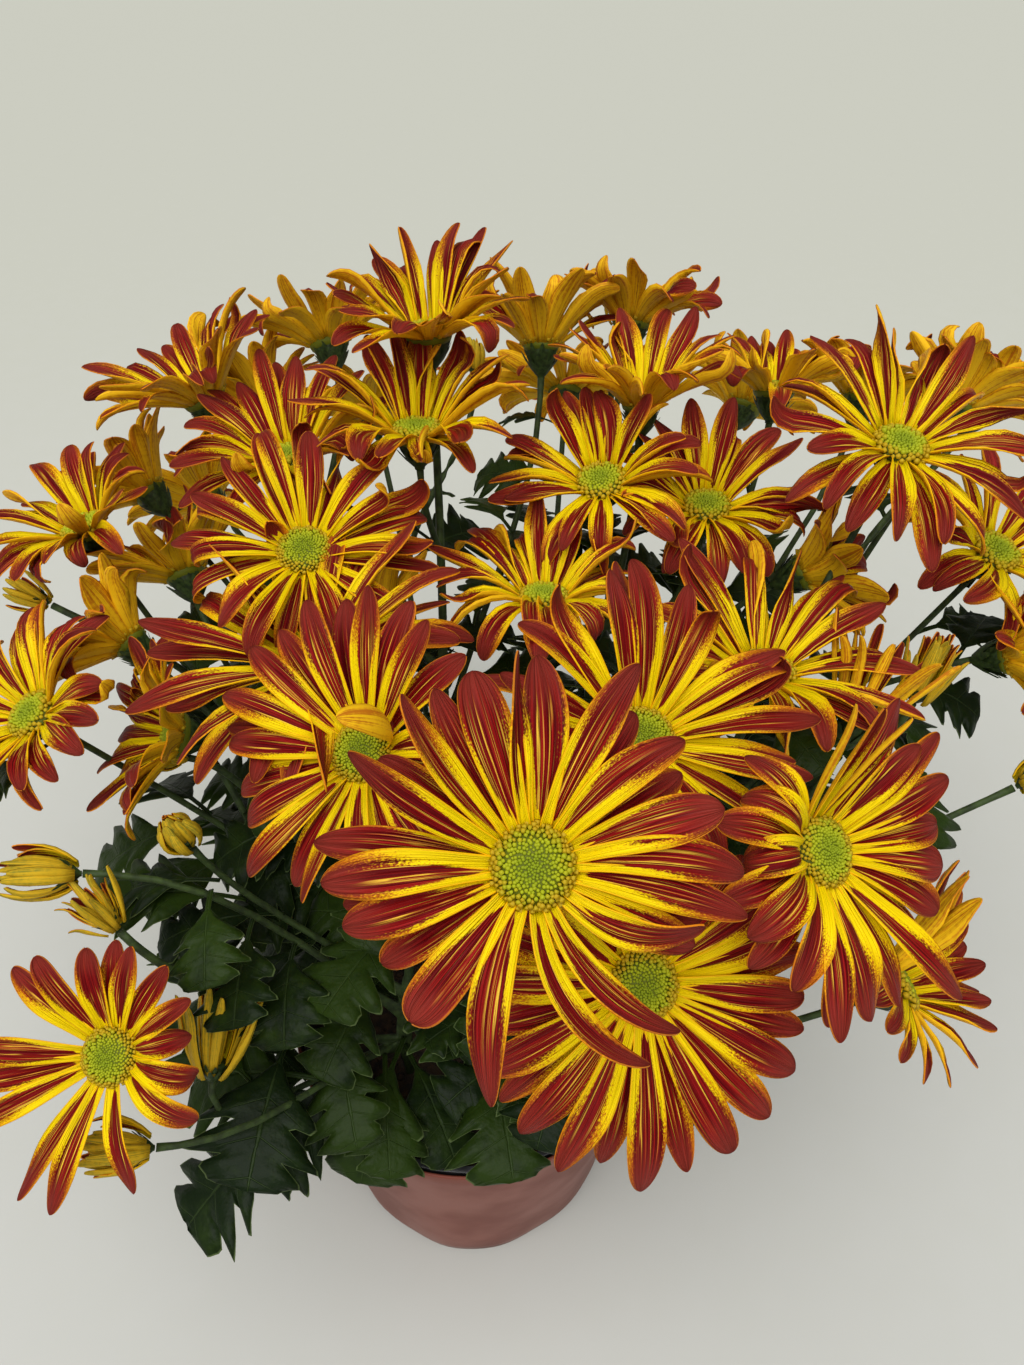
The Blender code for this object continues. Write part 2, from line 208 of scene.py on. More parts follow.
# %% [markdown]
# ## Patterns that several finishes share
# Petals, bracts and leaves are all drawn along their length: fibres run from foot to tip. And nearly every
# surface of a plant has fine freckles. Both patterns are node groups with named inputs, so each material
# places the same group with its own values. The strap's own place on itself (how far across, how far along,
# and a number that differs from strap to strap) is kept on its vertices as the attribute "grain".

# %% Build the shared groups
def new_group(name, inputs, output):
    """An empty node group with number inputs and one number output."""
    group = bpy.data.node_groups.new(name, "ShaderNodeTree")
    for label, value in inputs:
        socket = group.interface.new_socket(label, in_out="INPUT", socket_type="NodeSocketFloat")
        socket.default_value = value
    group.interface.new_socket(output, in_out="OUTPUT", socket_type="NodeSocketFloat")
    return group, group.nodes.new("NodeGroupInput"), group.nodes.new("NodeGroupOutput")


def build_fibre_group():
    """Streaks that run along a strap: fine across it, long down it, and different on each strap."""
    inputs = (("Across", 0.0), ("Along", 0.0), ("Seed", 0.0), ("Count", 6.0), ("Run", 1.0))
    group, taken, given = new_group("long_fibres", inputs, "Fibre")
    fine = sum_of(group, "MULTIPLY", taken.outputs["Across"], taken.outputs["Count"])
    long = sum_of(group, "MULTIPLY", taken.outputs["Along"], taken.outputs["Run"])
    shift = sum_of(group, "MULTIPLY", taken.outputs["Seed"], 57.0)
    place = add_node(group, "CombineXYZ")
    for socket, value in zip(place.inputs, (fine, long, shift)):
        feed(group, socket, value)
    grain = add_node(group, "TexNoise")
    grain.inputs["Scale"].default_value = 1
    grain.inputs["Detail"].default_value = 2
    group.links.new(place.outputs[0], grain.inputs["Vector"])
    group.links.new(grain.outputs["Fac"], given.inputs["Fibre"])
    return group


def build_freckle_group():
    """Fine irregular freckles of a given size in metres."""
    group, taken, given = new_group("freckles", (("Size", 0.001), ("Detail", 2.0)), "Freckle")
    place = add_node(group, "TexCoord")
    grain = add_node(group, "TexNoise")
    group.links.new(place.outputs["Object"], grain.inputs["Vector"])
    group.links.new(sum_of(group, "DIVIDE", 1.0, taken.outputs["Size"]), grain.inputs["Scale"])
    group.links.new(taken.outputs["Detail"], grain.inputs["Detail"])
    group.links.new(grain.outputs["Fac"], given.inputs["Freckle"])
    return group


FIBRES = build_fibre_group()
FRECKLES = build_freckle_group()


def place_group(tree, group, values):
    """Put a group in a material and return its output."""
    made = add_node(tree, "Group", node_tree=group)
    for name, value in values.items():
        feed(tree, made.inputs[name], value)
    return made.outputs[0]


def fibres(tree, grain, count, run):
    """Long streaks on a strap: count sets how many cross it, run how often they change on the way."""
    across, along, seed = grain
    values = {"Across": across, "Along": along, "Seed": seed, "Count": count, "Run": run}
    return place_group(tree, FIBRES, values)


def freckles(tree, size, detail=2.0):
    """Freckles of a size in metres."""
    return place_group(tree, FRECKLES, {"Size": size, "Detail": detail})


def read_grain(tree):
    """The strap's own coordinates: across from -1 to 1, along from 0 to 1, and its seed."""
    attribute = add_node(tree, "Attribute", attribute_name="grain")
    parts = add_node(tree, "SeparateXYZ")
    tree.links.new(attribute.outputs["Vector"], parts.inputs[0])
    return parts.outputs[0], parts.outputs[1], parts.outputs[2]


print("shared groups:", FIBRES.name, FRECKLES.name)

# %% [markdown]
# ## The petal's two faces
# Each ray is yellow with a crimson band down its middle. The band starts as a point near the disc, widens in
# streaks and takes the whole tip, where it fades to a brick red. Thin pale lines run through it, and orange
# freckles spread over the yellow margins further out. An image could hold this, but it would repeat on every
# ray. Worked out from the strap's own coordinates, it follows each curl and differs from ray to ray. The back
# is plain gold with faint brown streaks.

# %% Paint the rays
RAY_YELLOW = (1.0, 0.73, 0.001, 1)
RAY_GOLD = (0.82, 0.29, 0.004, 1)
RAY_CRIMSON = (0.11, 0.001, 0.003, 1)
RAY_SCARLET = (0.33, 0.008, 0.007, 1)
RAY_BRICK = (0.28, 0.036, 0.022, 1)
RAY_FRECKLE = (0.50, 0.10, 0.006, 1)
RAY_PALE_LINE = (0.95, 0.58, 0.05, 1)
BACK_GOLD = (0.90, 0.52, 0.010, 1)
BACK_BROWN = (0.55, 0.18, 0.008, 1)
BUD_YELLOW = (0.64, 0.40, 0.015, 1)
BUD_OLIVE = (0.25, 0.22, 0.02, 1)
BAND_WIDTH = ((0.0, 0.0), (0.04, 0.0), (0.13, 0.28), (0.30, 0.49), (0.52, 0.64), (0.74, 0.80), (0.89, 0.94), (1.0, 1.0))


def paint_ray_front():
    """Crimson band on yellow, streaked and freckled."""
    material, tree, shader = new_finish("ray_front", 0.46, 0.11)
    grain = read_grain(tree)
    across, along, seed = grain
    edge = sum_of(tree, "ABSOLUTE", across)
    lean = ramp(tree, sum_of(tree, "FRACT", sum_of(tree, "MULTIPLY", seed, 7.3)), 0, 1, -0.16, 0.16)
    from_middle = sum_of(tree, "ABSOLUTE", sum_of(tree, "SUBTRACT", across, lean))
    wander = sum_of(tree, "SUBTRACT", fibres(tree, grain, 4.5, 1.3), 0.5)
    band = curve(tree, along, BAND_WIDTH)
    band = sum_of(tree, "MULTIPLY", band, ramp(tree, seed, 0, 1, 0.8, 1.25))
    band = sum_of(tree, "ADD", band, sum_of(tree, "MULTIPLY", wander, 0.6))
    stipple = fibres(tree, grain, 17, 60)
    gap = sum_of(tree, "SUBTRACT", band, from_middle)
    rough_gap = sum_of(tree, "MULTIPLY", sum_of(tree, "SUBTRACT", stipple, 0.5), ramp(tree, along, 0.3, 0.8, 0.1, 0.7))
    soft = ramp(tree, along, 0.35, 0.9, 0.05, 0.22)
    in_band = ramp(tree, sum_of(tree, "ADD", gap, rough_gap), sum_of(tree, "MULTIPLY", soft, -1.0), soft)
    fine = fibres(tree, grain, 11, 0.8)
    crimson = blend(tree, ramp(tree, fine, 0.36, 0.68), RAY_CRIMSON, RAY_SCARLET)
    thread = ramp(tree, fibres(tree, grain, 19, 0.8), 0.61, 0.66, 0, 0.7)
    thread = sum_of(tree, "MULTIPLY", thread, ramp(tree, along, 0.9, 0.5))
    crimson = blend(tree, thread, crimson, RAY_PALE_LINE)
    groove = sum_of(tree, "SUBTRACT", edge, sum_of(tree, "ADD", 0.27, sum_of(tree, "MULTIPLY", wander, 0.5)))
    line = ramp(tree, sum_of(tree, "ABSOLUTE", groove), 0.045, 0.02)
    line = sum_of(tree, "MULTIPLY", line, ramp(tree, fibres(tree, grain, 2.2, 1.6), 0.42, 0.56))
    line = sum_of(tree, "MULTIPLY", line, ramp(tree, along, 0.88, 0.6))
    crimson = blend(tree, line, crimson, RAY_PALE_LINE)
    crimson = blend(tree, ramp(tree, along, 0.62, 1.0, 0, 0.8), crimson, RAY_BRICK)
    yellow = blend(tree, ramp(tree, along, 0.45, 0.95), RAY_YELLOW, RAY_GOLD)
    speck = sum_of(tree, "ADD", stipple, ramp(tree, along, 0.3, 0.9, -0.16, 0.18))
    speck = sum_of(tree, "ADD", speck, ramp(tree, gap, -0.5, 0.0, -0.08, 0.10))
    yellow = blend(tree, ramp(tree, speck, 0.46, 0.72, 0, 0.85), yellow, RAY_FRECKLE)
    colour = blend(tree, in_band, yellow, crimson)
    colour = blend(tree, ramp(tree, edge, 0.93, 0.99, 0, 0.5), colour, RAY_GOLD)
    tree.links.new(colour, shader.inputs["Base Color"])
    raise_surface(tree, shader, fine, 0.0016, 0.85)
    return material


def paint_ray_back(name, light, dark):
    """Plain gold with faint long streaks."""
    material, tree, shader = new_finish(name, 0.55, 0.1)
    grain = read_grain(tree)
    streak = fibres(tree, grain, 9, 0.9)
    speck = freckles(tree, 0.0014)
    share = sum_of(tree, "ADD", streak, sum_of(tree, "MULTIPLY", speck, 0.35))
    share = sum_of(tree, "ADD", share, ramp(tree, grain[1], 0.3, 1.0, 0, 0.12))
    tree.links.new(blend(tree, ramp(tree, share, 0.66, 0.95), light, dark), shader.inputs["Base Color"])
    raise_surface(tree, shader, streak, 0.0006, 0.5)
    return material


RAY_FRONT = paint_ray_front()
RAY_BACK = paint_ray_back("ray_back", BACK_GOLD, BACK_BROWN)
BUD_BACK = paint_ray_back("bud_back", BUD_YELLOW, BUD_OLIVE)
print("petal finishes:", RAY_FRONT.name, RAY_BACK.name, BUD_BACK.name)

# %% [markdown]
# ## The disc, the bracts and the leaves
# The disc's florets open from the rim inwards, so its colour goes from ochre at the rim to fresh green in the
# middle. Bracts and stems share one dull green. A leaf is nearly black-green on top, with a pale midrib, a vein
# into each lobe and a thin pale edge, and grey-green below.

# %% Paint the green parts and the disc
DISC_GREEN = (0.25, 0.31, 0.008, 1)
DISC_LIME = (0.40, 0.43, 0.010, 1)
DISC_OCHRE = (0.50, 0.33, 0.008, 1)
DISC_SHADE = (0.13, 0.15, 0.006, 1)
STEM_GREEN = (0.045, 0.075, 0.018, 1)
STEM_DARK = (0.020, 0.032, 0.010, 1)
BRACT_GREEN = (0.040, 0.072, 0.014, 1)
BRACT_DARK = (0.014, 0.026, 0.006, 1)
LEAF_GREEN = (0.019, 0.038, 0.004, 1)
LEAF_DEEP = (0.006, 0.014, 0.003, 1)
LEAF_VEIN = (0.045, 0.075, 0.020, 1)
LEAF_EDGE = (0.085, 0.120, 0.040, 1)
LEAF_BELOW = (0.045, 0.072, 0.028, 1)
VEIN_STEP = 0.15


def paint_disc():
    """Green in the middle, ochre at the rim; grain holds the floret's distance out, height and seed."""
    material, tree, shader = new_finish("disc_florets", 0.55, 0.2)
    out, height, seed = read_grain(tree)
    colour = blend(tree, ramp(tree, out, 0.2, 0.7), DISC_GREEN, DISC_LIME)
    place = sum_of(tree, "ADD", out, ramp(tree, seed, 0, 1, -0.08, 0.08))
    colour = blend(tree, ramp(tree, place, 0.66, 0.9), colour, DISC_OCHRE)
    colour = blend(tree, ramp(tree, height, 0.5, 0.0), colour, DISC_SHADE)
    tree.links.new(colour, shader.inputs["Base Color"])
    raise_surface(tree, shader, freckles(tree, 0.0004), 0.0001)
    return material


def paint_green(name, light, dark, roughness, size):
    """A dull freckled green for stems and bracts."""
    material, tree, shader = new_finish(name, roughness, 0.25)
    speck = freckles(tree, size, 4.0)
    tree.links.new(blend(tree, ramp(tree, speck, 0.3, 0.7), dark, light), shader.inputs["Base Color"])
    raise_surface(tree, shader, speck, 0.0004, 0.6)
    return material


def paint_leaf():
    """Dark blade, pale veins and edge."""
    material, tree, shader = new_finish("leaf_upper", 0.46, 0.12)
    across, along, seed = read_grain(tree)
    side = sum_of(tree, "ABSOLUTE", across)
    blotch = freckles(tree, 0.006, 4.0)
    tone = sum_of(tree, "ADD", blotch, ramp(tree, seed, 0, 1, -0.25, 0.25))
    colour = blend(tree, ramp(tree, tone, 0.25, 0.8), LEAF_DEEP, LEAF_GREEN)
    midrib = ramp(tree, side, 0.045, 0.012)
    from_vein = sum_of(tree, "PINGPONG", sum_of(tree, "SUBTRACT", along, sum_of(tree, "MULTIPLY", side, 0.03)), VEIN_STEP)
    lobe_vein = ramp(tree, from_vein, 0.009, 0.002)
    lobe_vein = sum_of(tree, "MULTIPLY", lobe_vein, ramp(tree, side, 0.95, 0.3))
    veins = sum_of(tree, "MAXIMUM", midrib, lobe_vein)
    colour = blend(tree, sum_of(tree, "MULTIPLY", veins, 0.36), colour, LEAF_VEIN)
    colour = blend(tree, ramp(tree, side, 0.955, 0.985), colour, LEAF_EDGE)
    tree.links.new(colour, shader.inputs["Base Color"])
    quilt = sum_of(tree, "SUBTRACT", freckles(tree, 0.0025, 2.0), veins)
    raise_surface(tree, shader, quilt, 0.0006, 0.7)
    return material


DISC = paint_disc()
STEM = paint_green("stem_green", STEM_GREEN, STEM_DARK, 0.6, 0.003)
BRACT = paint_green("bract_green", BRACT_GREEN, BRACT_DARK, 0.6, 0.0015)
LEAF_UPPER = paint_leaf()
LEAF_LOWER = paint_green("leaf_lower", LEAF_BELOW, LEAF_VEIN, 0.7, 0.004)
print("green finishes:", STEM.name, BRACT.name, LEAF_UPPER.name, LEAF_LOWER.name)

# %% [markdown]
# ## The pot's finishes
# The cover is thin satin plastic in a dusty terracotta, a little blotched. The nursery pot is black plastic
# that catches a grey light along its rim, and the mix is nearly black peat with browner crumbs.

# %% Paint the pots and the mix
COVER_PINK = (0.215, 0.055, 0.033, 1)
COVER_DULL = (0.165, 0.040, 0.024, 1)
POT_BLACK = (0.014, 0.014, 0.015, 1)
POT_GREY = (0.030, 0.030, 0.032, 1)
PEAT_DARK = (0.012, 0.008, 0.006, 1)
PEAT_BROWN = (0.050, 0.028, 0.015, 1)


def paint_plain(name, first, second, roughness, size, height, gloss=0.5):
    """Two close tones in soft clouds, with a fine tooth on the surface."""
    material, tree, shader = new_finish(name, roughness, gloss)
    cloud = freckles(tree, size, 3.0)
    tree.links.new(blend(tree, ramp(tree, cloud, 0.35, 0.65), first, second), shader.inputs["Base Color"])
    wear = sum_of(tree, "ADD", ramp(tree, cloud, 0.3, 0.7, -0.06, 0.06), roughness)
    tree.links.new(wear, shader.inputs["Roughness"])
    raise_surface(tree, shader, freckles(tree, 0.0007, 2.0), height, 0.5)
    return material


COVER = paint_plain("cover_plastic", COVER_PINK, COVER_DULL, 0.42, 0.03, 0.00006, 0.22)
NURSERY = paint_plain("nursery_plastic", POT_BLACK, POT_GREY, 0.38, 0.004, 0.00008)
PEAT = paint_plain("peat_mix", PEAT_DARK, PEAT_BROWN, 0.95, 0.004, 0.0006)
print("pot finishes:", COVER.name, NURSERY.name, PEAT.name)

# %% [markdown]
# ## From bmesh to a finished piece
# Every piece ends the same way: its mesh becomes an object at the origin, it gets its finishes, it rides on
# the plant's one body and the measured solids it stands for are hidden. A petal or a leaf is modelled as a
# single skin and gets its thickness from Solidify. The new side takes the next finish in the list, which is
# how a petal gets a gold back.

# %% Finish a piece
PETAL_THICKNESS = 0.35 * MM


def finish_piece(name, bm, finishes, stands_for=(), thickness=0, smoothing=0):
    """Turn a bmesh into a named, finished piece of the plant."""
    mesh = bpy.data.meshes.new(name)
    bm.to_mesh(mesh)
    bm.free()
    mesh.shade_smooth()
    for finish in finishes:
        mesh.materials.append(finish)
    piece = bpy.data.objects.new(name, mesh)
    scene.collection.objects.link(piece)
    if smoothing:
        rounder = piece.modifiers.new("rounder", "SUBSURF")
        rounder.levels = smoothing
        rounder.render_levels = smoothing
    if thickness:
        wall = piece.modifiers.new("thickness", "SOLIDIFY")
        wall.thickness = thickness
        wall.offset = -1
        wall.material_offset = 1
    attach(piece, BODY)
    if stands_for:
        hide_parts(*stands_for)
    return piece


def new_skin():
    """An empty bmesh whose vertices carry the strap coordinates, and that layer."""
    bm = bmesh.new()
    return bm, bm.verts.layers.float_vector.new("grain")


def smooth_step(low, high, value):
    """0 below low, 1 above high, and an easy curve between."""
    share = min(max((value - low) / (high - low), 0), 1)
    return share * share * (3 - 2 * share)


def mix(first, second, share):
    """Straight from first to second."""
    return first + (second - first) * share


print("piece helpers ready")

# %% [markdown]
# ## One strap
# Rays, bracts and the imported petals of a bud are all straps: a narrow foot, a swelling blade and a blunt tip,
# channelled like a gutter. A strap could be drawn as a curve with a bevel, but then it can't open out from a
# folded foot to a flat tip. Here it is a small grid whose vertices are moved by formula. The spine climbs at
# one angle and droops to another, may bow sideways, twist and hook at its end, and each row across is a piece
# of a circle, tight where the strap is folded and shallow where it is flat.

# %% Shape a strap
STRAP = dict(
    angle=0, length=33, width=6.8, foot_width=0.50, lift=15, droop=20, hook=0, bow=0, twist=0, fold=130, cup=70,
    tip_cup=5, tip=5, groove=0.05, ripple=0.07, foot=7.0, height=0, seed=0.5,
)
STRAP_ROWS = 10
STRAP_COLUMNS = 4


def strap_spine(strap, rows):
    """For each row: how far along it is, its place, side and up directions, width and arc, in mm."""
    spine = []
    place = Vector((strap["foot"], 0, strap["height"]))
    before = 0
    for row in range(rows + 1):
        along = math.sin(math.pi / 2 * row / rows)
        middle = (along + before) / 2
        forward = strap_heading(strap, middle)[0]
        place = place + forward * strap["length"] * (along - before)
        forward, side = strap_heading(strap, along)
        roll = Matrix.Rotation(math.radians(strap["twist"]) * smooth_step(0.1, 1, along), 3, forward)
        side = roll @ side
        spine.append((along, place, side, side.cross(forward), strap_width(strap, along), strap_arc(strap, along)))
        before = along
    return spine


def strap_heading(strap, along):
    """The way the spine runs, and the way across it."""
    climb = strap["lift"] - strap["droop"] * along**1.4 - strap["hook"] * smooth_step(0.62, 1, along)
    turn = math.radians(strap["bow"] * along**1.3)
    climb = math.radians(climb)
    forward = Vector((math.cos(climb) * math.cos(turn), math.cos(climb) * math.sin(turn), math.sin(climb)))
    return forward, Vector((math.sin(turn), -math.cos(turn), 0))


def strap_width(strap, along):
    """Narrow foot, full blade, tapering tip."""
    swell = mix(strap["foot_width"], 1, smooth_step(0, 0.62, along))
    return strap["width"] * swell * max((1 - along ** strap["tip"]) ** 0.5, 0.05)


def strap_arc(strap, along):
    """How much of a circle a row bends round, in radians: positive lifts the margins."""
    arc = mix(strap["fold"], strap["cup"], smooth_step(0, 0.35, along))
    return math.radians(mix(arc, strap["tip_cup"], smooth_step(0.45, 0.95, along)))


def add_strap(bm, grain, strap, matrix, rows=STRAP_ROWS, columns=STRAP_COLUMNS):
    """Add one strap to a skin; matrix places the head's middle, with its axis along Z."""
    spine = strap_spine(strap, rows)
    turned = matrix @ Matrix.Rotation(math.radians(strap["angle"]), 4, "Z")
    made = bmesh.ops.create_grid(bm, x_segments=columns, y_segments=rows, size=1)
    for vert in made["verts"]:
        across = vert.co.x
        along, place, side, up, width, arc = spine[round((vert.co.y + 1) / 2 * rows)]
        if abs(arc) > 0.02:
            out = width / arc * math.sin(across * arc / 2)
            rise = width / arc * (1 - math.cos(across * arc / 2))
        else:
            out = across * width / 2
            rise = 0
        wave = math.sin(9 * along + 40 * strap["seed"] + 1.5 * across) * along
        rise = rise + strap["ripple"] * wave * across * across * width
        rise = rise + strap["groove"] * width * math.cos(2 * math.pi * across)
        vert[grain] = (across, along, strap["seed"])
        vert.co = turned @ ((place + side * out + up * rise) * MM)


print("strap rows and columns:", STRAP_ROWS, STRAP_COLUMNS)

# %% [markdown]
# ## Where each head is and how it faces
# Every measured head is a turned solid, so its corners lie in rings round its axis. Rings have a middle, and
# the spread of their corners is the same in two directions and different along the axis. That is enough to
# find the axis without being told, and the narrow end of the bract cup says which way the head faces.

# %% Read a turned solid's place
import numpy as np

CALYX_DEPTH = 11 * MM
FOOT_REACH = 3 * MM


def corner_points(node):
    """The solid's separate corners, in metres."""
    corners = np.array([vert.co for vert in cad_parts[node].data.vertices])
    return np.unique(corners.round(6), axis=0)


def turned_axis(node):
    """The foot's middle, the direction it faces, its length and its widest radius."""
    corners = corner_points(node)
    middle = corners.mean(axis=0)
    spread, directions = np.linalg.eigh(np.cov((corners - middle).T))
    gaps = (spread[1] - spread[0], spread[2] - spread[1])
    axis = directions[:, 2] if gaps[0] < gaps[1] else directions[:, 0]
    heights = (corners - middle) @ axis
    radii = np.linalg.norm(corners - middle - np.outer(heights, axis), axis=1)
    narrow_low = ((heights < heights.min() + 0.1 * MM) & (radii < FOOT_REACH)).sum()
    narrow_high = ((heights > heights.max() - 0.1 * MM) & (radii < FOOT_REACH)).sum()
    if narrow_high > narrow_low:
        axis = -axis
        heights = -heights
    foot = middle + axis * heights.min()
    return Vector(foot), Vector(axis), float(np.ptp(heights)), float(radii.max())


def facing_matrix(place, axis):
    """Turns Z to the axis, with X the way it leans, and moves it to the place."""
    towards = math.atan2(axis.y, axis.x)
    lean = math.acos(max(-1, min(1, axis.z)))
    turn = Matrix.Rotation(towards, 4, "Z") @ Matrix.Rotation(lean, 4, "Y")
    return Matrix.Translation(place) @ turn


head_names = sorted(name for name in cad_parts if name.startswith("flower_"))
heads = {}
for name in head_names:
    foot, axis, length, radius = turned_axis(name)
    heads[name] = facing_matrix(foot + axis * CALYX_DEPTH, axis)
print("heads read:", len(heads))
print("first head leans", round(math.degrees(math.acos(heads["flower_01"][2][2]))), "degrees")

# %% [markdown]
# ## The disc
# A chrysanthemum's eye is a dome of small florets in spirals. The middle ones are still closed beads, and the
# outer ones have opened into tiny cups. Setting each one a golden angle round from the last gives the spirals
# for free. Each floret is one small ball or cone, and a dark dome closes the gaps below.

# %% Build a disc
DISC_RADIUS = 7.8
DISC_RISE = 3.8
DISC_FLORETS = 170
GOLDEN_ANGLE = math.radians(137.508)
OPEN_FROM = 0.70
CROWDING = 0.6


def add_disc(bm, grain, matrix, rng, florets=DISC_FLORETS):
    """Add the domed eye of a head."""
    dome = bmesh.ops.create_uvsphere(bm, u_segments=20, v_segments=8, radius=1)
    for vert in dome["verts"]:
        vert[grain] = (Vector(vert.co.xy).length, 0, 0)
        vert.co = matrix @ Vector((vert.co.x * DISC_RADIUS, vert.co.y * DISC_RADIUS, vert.co.z * DISC_RISE)) * 1
    for vert in dome["verts"]:
        vert.co = matrix.translation + (vert.co - matrix.translation) * MM
    for index in range(florets):
        out = min(((index + 0.5) / florets) ** CROWDING + rng.uniform(-0.012, 0.012), 1)
        angle = index * GOLDEN_ANGLE + rng.uniform(-0.03, 0.03) / max(out, 0.2)
        rise = DISC_RISE * math.sqrt(max(1 - (out * 0.98) ** 2, 0.02))
        place = Vector((math.cos(angle) * out * DISC_RADIUS, math.sin(angle) * out * DISC_RADIUS, rise))
        slope = Vector((place.x / DISC_RADIUS**2, place.y / DISC_RADIUS**2, rise / DISC_RISE**2)).normalized()
        size = mix(0.44, 0.80, out) * math.sqrt(DISC_FLORETS / florets) * rng.uniform(0.78, 1.2)
        stand = Matrix.Translation((matrix @ (place * MM))) @ (matrix.to_3x3() @ slope).to_track_quat("Z", "Y").to_matrix().to_4x4()
        if out > OPEN_FROM:
            made = bmesh.ops.create_cone(
                bm, cap_ends=True, segments=5, radius1=size * 0.55 * MM, radius2=size * MM, depth=size * 2.6 * MM,
                matrix=stand @ Matrix.Translation((0, 0, size * 0.7 * MM)),
            )
        else:
            made = bmesh.ops.create_icosphere(
                bm, subdivisions=1, radius=size * MM, matrix=stand @ Matrix.Diagonal((1, 1, 1.5, 1)),
            )
        seed = rng.random()
        for vert in made["verts"]:
            vert[grain] = (out, 1, seed)


print("florets in a disc:", DISC_FLORETS)

# %% [markdown]
# ## The bract cup
# Seen from the side or from behind, a head sits in a green cup of overlapping scales. The cup is a turned
# outline, and the scales are short straps that hug it in two rounds.

# %% Build a bract cup
CUP_OUTLINE = ((0.4, -11.6), (1.6, -11.4), (1.8, -9.8), (3.6, -7.6), (5.4, -4.8), (6.5, -2.0), (6.2, -0.6), (0.4, 0.2))
CUP_STEPS = 20
SCALES = 11


def add_cup(bm, grain, matrix, rng, size=1.0, width=1.0, scale_length=9.5):
    """Add the turned cup and its two rounds of scales."""
    verts = [bm.verts.new((across * width * size * MM, 0, height * size * MM)) for across, height in CUP_OUTLINE]
    edges = [bm.edges.new(pair) for pair in zip(verts, verts[1:])]
    bmesh.ops.spin(
        bm, geom=verts + edges, cent=(0, 0, 0), axis=(0, 0, 1), angle=2 * math.pi, steps=CUP_STEPS, use_merge=True,
    )
    cup = list(bm.verts)
    bmesh.ops.remove_doubles(bm, verts=cup, dist=0.005 * MM)
    bmesh.ops.holes_fill(bm, edges=bm.edges, sides=0)
    bmesh.ops.recalc_face_normals(bm, faces=bm.faces)
    bmesh.ops.transform(bm, matrix=matrix, verts=bm.verts)
    for round_index in range(2):
        for index in range(SCALES):
            scale = dict(
                STRAP, angle=360 / SCALES * (index + round_index / 2) + rng.uniform(-4, 4), seed=rng.random(),
                length=scale_length * size * rng.uniform(0.85, 1.15), width=3.4 * size, foot_width=0.8,
                foot=1.8 * size, height=(-10.6 + round_index * 1.8) * size, lift=mix(62, 46, width),
                droop=rng.uniform(-30, -8), fold=70, cup=70, tip_cup=30, tip=2.0, groove=0,
            )
            add_strap(bm, grain, scale, matrix, rows=4, columns=2)


print("scales in a cup:", 2 * SCALES)

# %% [markdown]
# ## A head of rays
# No two rays of a head are alike. Most lie in two loose rounds, the upper one a little steeper. Some hook up
# at the tip, some fall back, some twist and show the gold of their backs, and a few stay rolled. A seeded
# random draw gives each head its own mix, and the same one each time the script runs. A head also nods: the
# rays on its far side stand up like a fan, and the near ones fall forward. Rows of the table say what differs
# from head to head: ray length in mm, number of rays, how steeply they leave the disc, how much they droop on
# the way, how far the head nods, and how unruly its rays are.

# %% Draw a head's rays
HEAD_HABITS = {
    "flower_01": (34, 26, 16, 20, 0, 0.3), "flower_02": (38, 24, 12, 24, 0, 0.2), "flower_03": (34, 24, 20, 46, 0, 0.5),
    "flower_04": (36, 25, 24, 40, 8, 0.5), "flower_05": (37, 24, 24, 44, 6, 0.4), "flower_06": (38, 25, 30, 28, 8, 0.4),
    "flower_07": (34, 24, 42, 60, 14, 0.6), "flower_08": (34, 24, 36, 42, 14, 0.4),
    "flower_09": (32, 24, 38, 34, 16, 0.3), "flower_10": (37, 24, 28, 38, 14, 0.5),
    "flower_11": (32, 23, 26, 40, 8, 0.5), "flower_12": (35, 25, 46, 24, 18, 0.5),
    "flower_13": (35, 25, 46, 30, 20, 0.5), "flower_14": (36, 25, 42, 32, 16, 0.5),
    "flower_15": (30, 24, 44, 34, 14, 0.5), "flower_16": (33, 23, 28, 38, 6, 0.5),
    "flower_17": (29, 20, 54, 16, 22, 0.3), "flower_18": (35, 26, 46, 24, 10, 0.5),
    "flower_19": (32, 25, 52, 26, 0, 0.5), "flower_20": (31, 25, 46, 36, 6, 0.5),
    "flower_21": (35, 25, 52, 26, 14, 0.6), "flower_22": (29, 24, 44, 34, 14, 0.5),
    "flower_23": (29, 24, 46, 34, 10, 0.5), "flower_24": (28, 22, 50, 30, 6, 0.4),
    "flower_25": (31, 14, 64, 14, 0, 1.0), "flower_26": (30, 20, 52, 14, 10, 0.3),
    "flower_27": (27, 18, 60, 18, 0, 0.4), "flower_28": (33, 22, 50, 14, 26, 0.3),
    "flower_29": (30, 20, 54, 18, 22, 0.3), "flower_30": (44, 26, 24, 28, 8, 0.3),
    "flower_31": (41, 24, 38, 26, 12, 0.4), "flower_32": (32, 18, 44, 26, 0, 0.4),
    "flower_33": (34, 20, 16, 24, 0, 0.4), "flower_34": (33, 25, 28, 40, 0, 0.4),
    "flower_35": (33, 25, 28, 40, 0, 0.4), "flower_36": (36, 24, 38, 16, 0, 0.1),
}


def youth(lift):
    """How big a head's cup and disc are: a half-open head, with steep rays, is smaller."""
    return mix(1, 0.74, smooth_step(46, 58, lift))


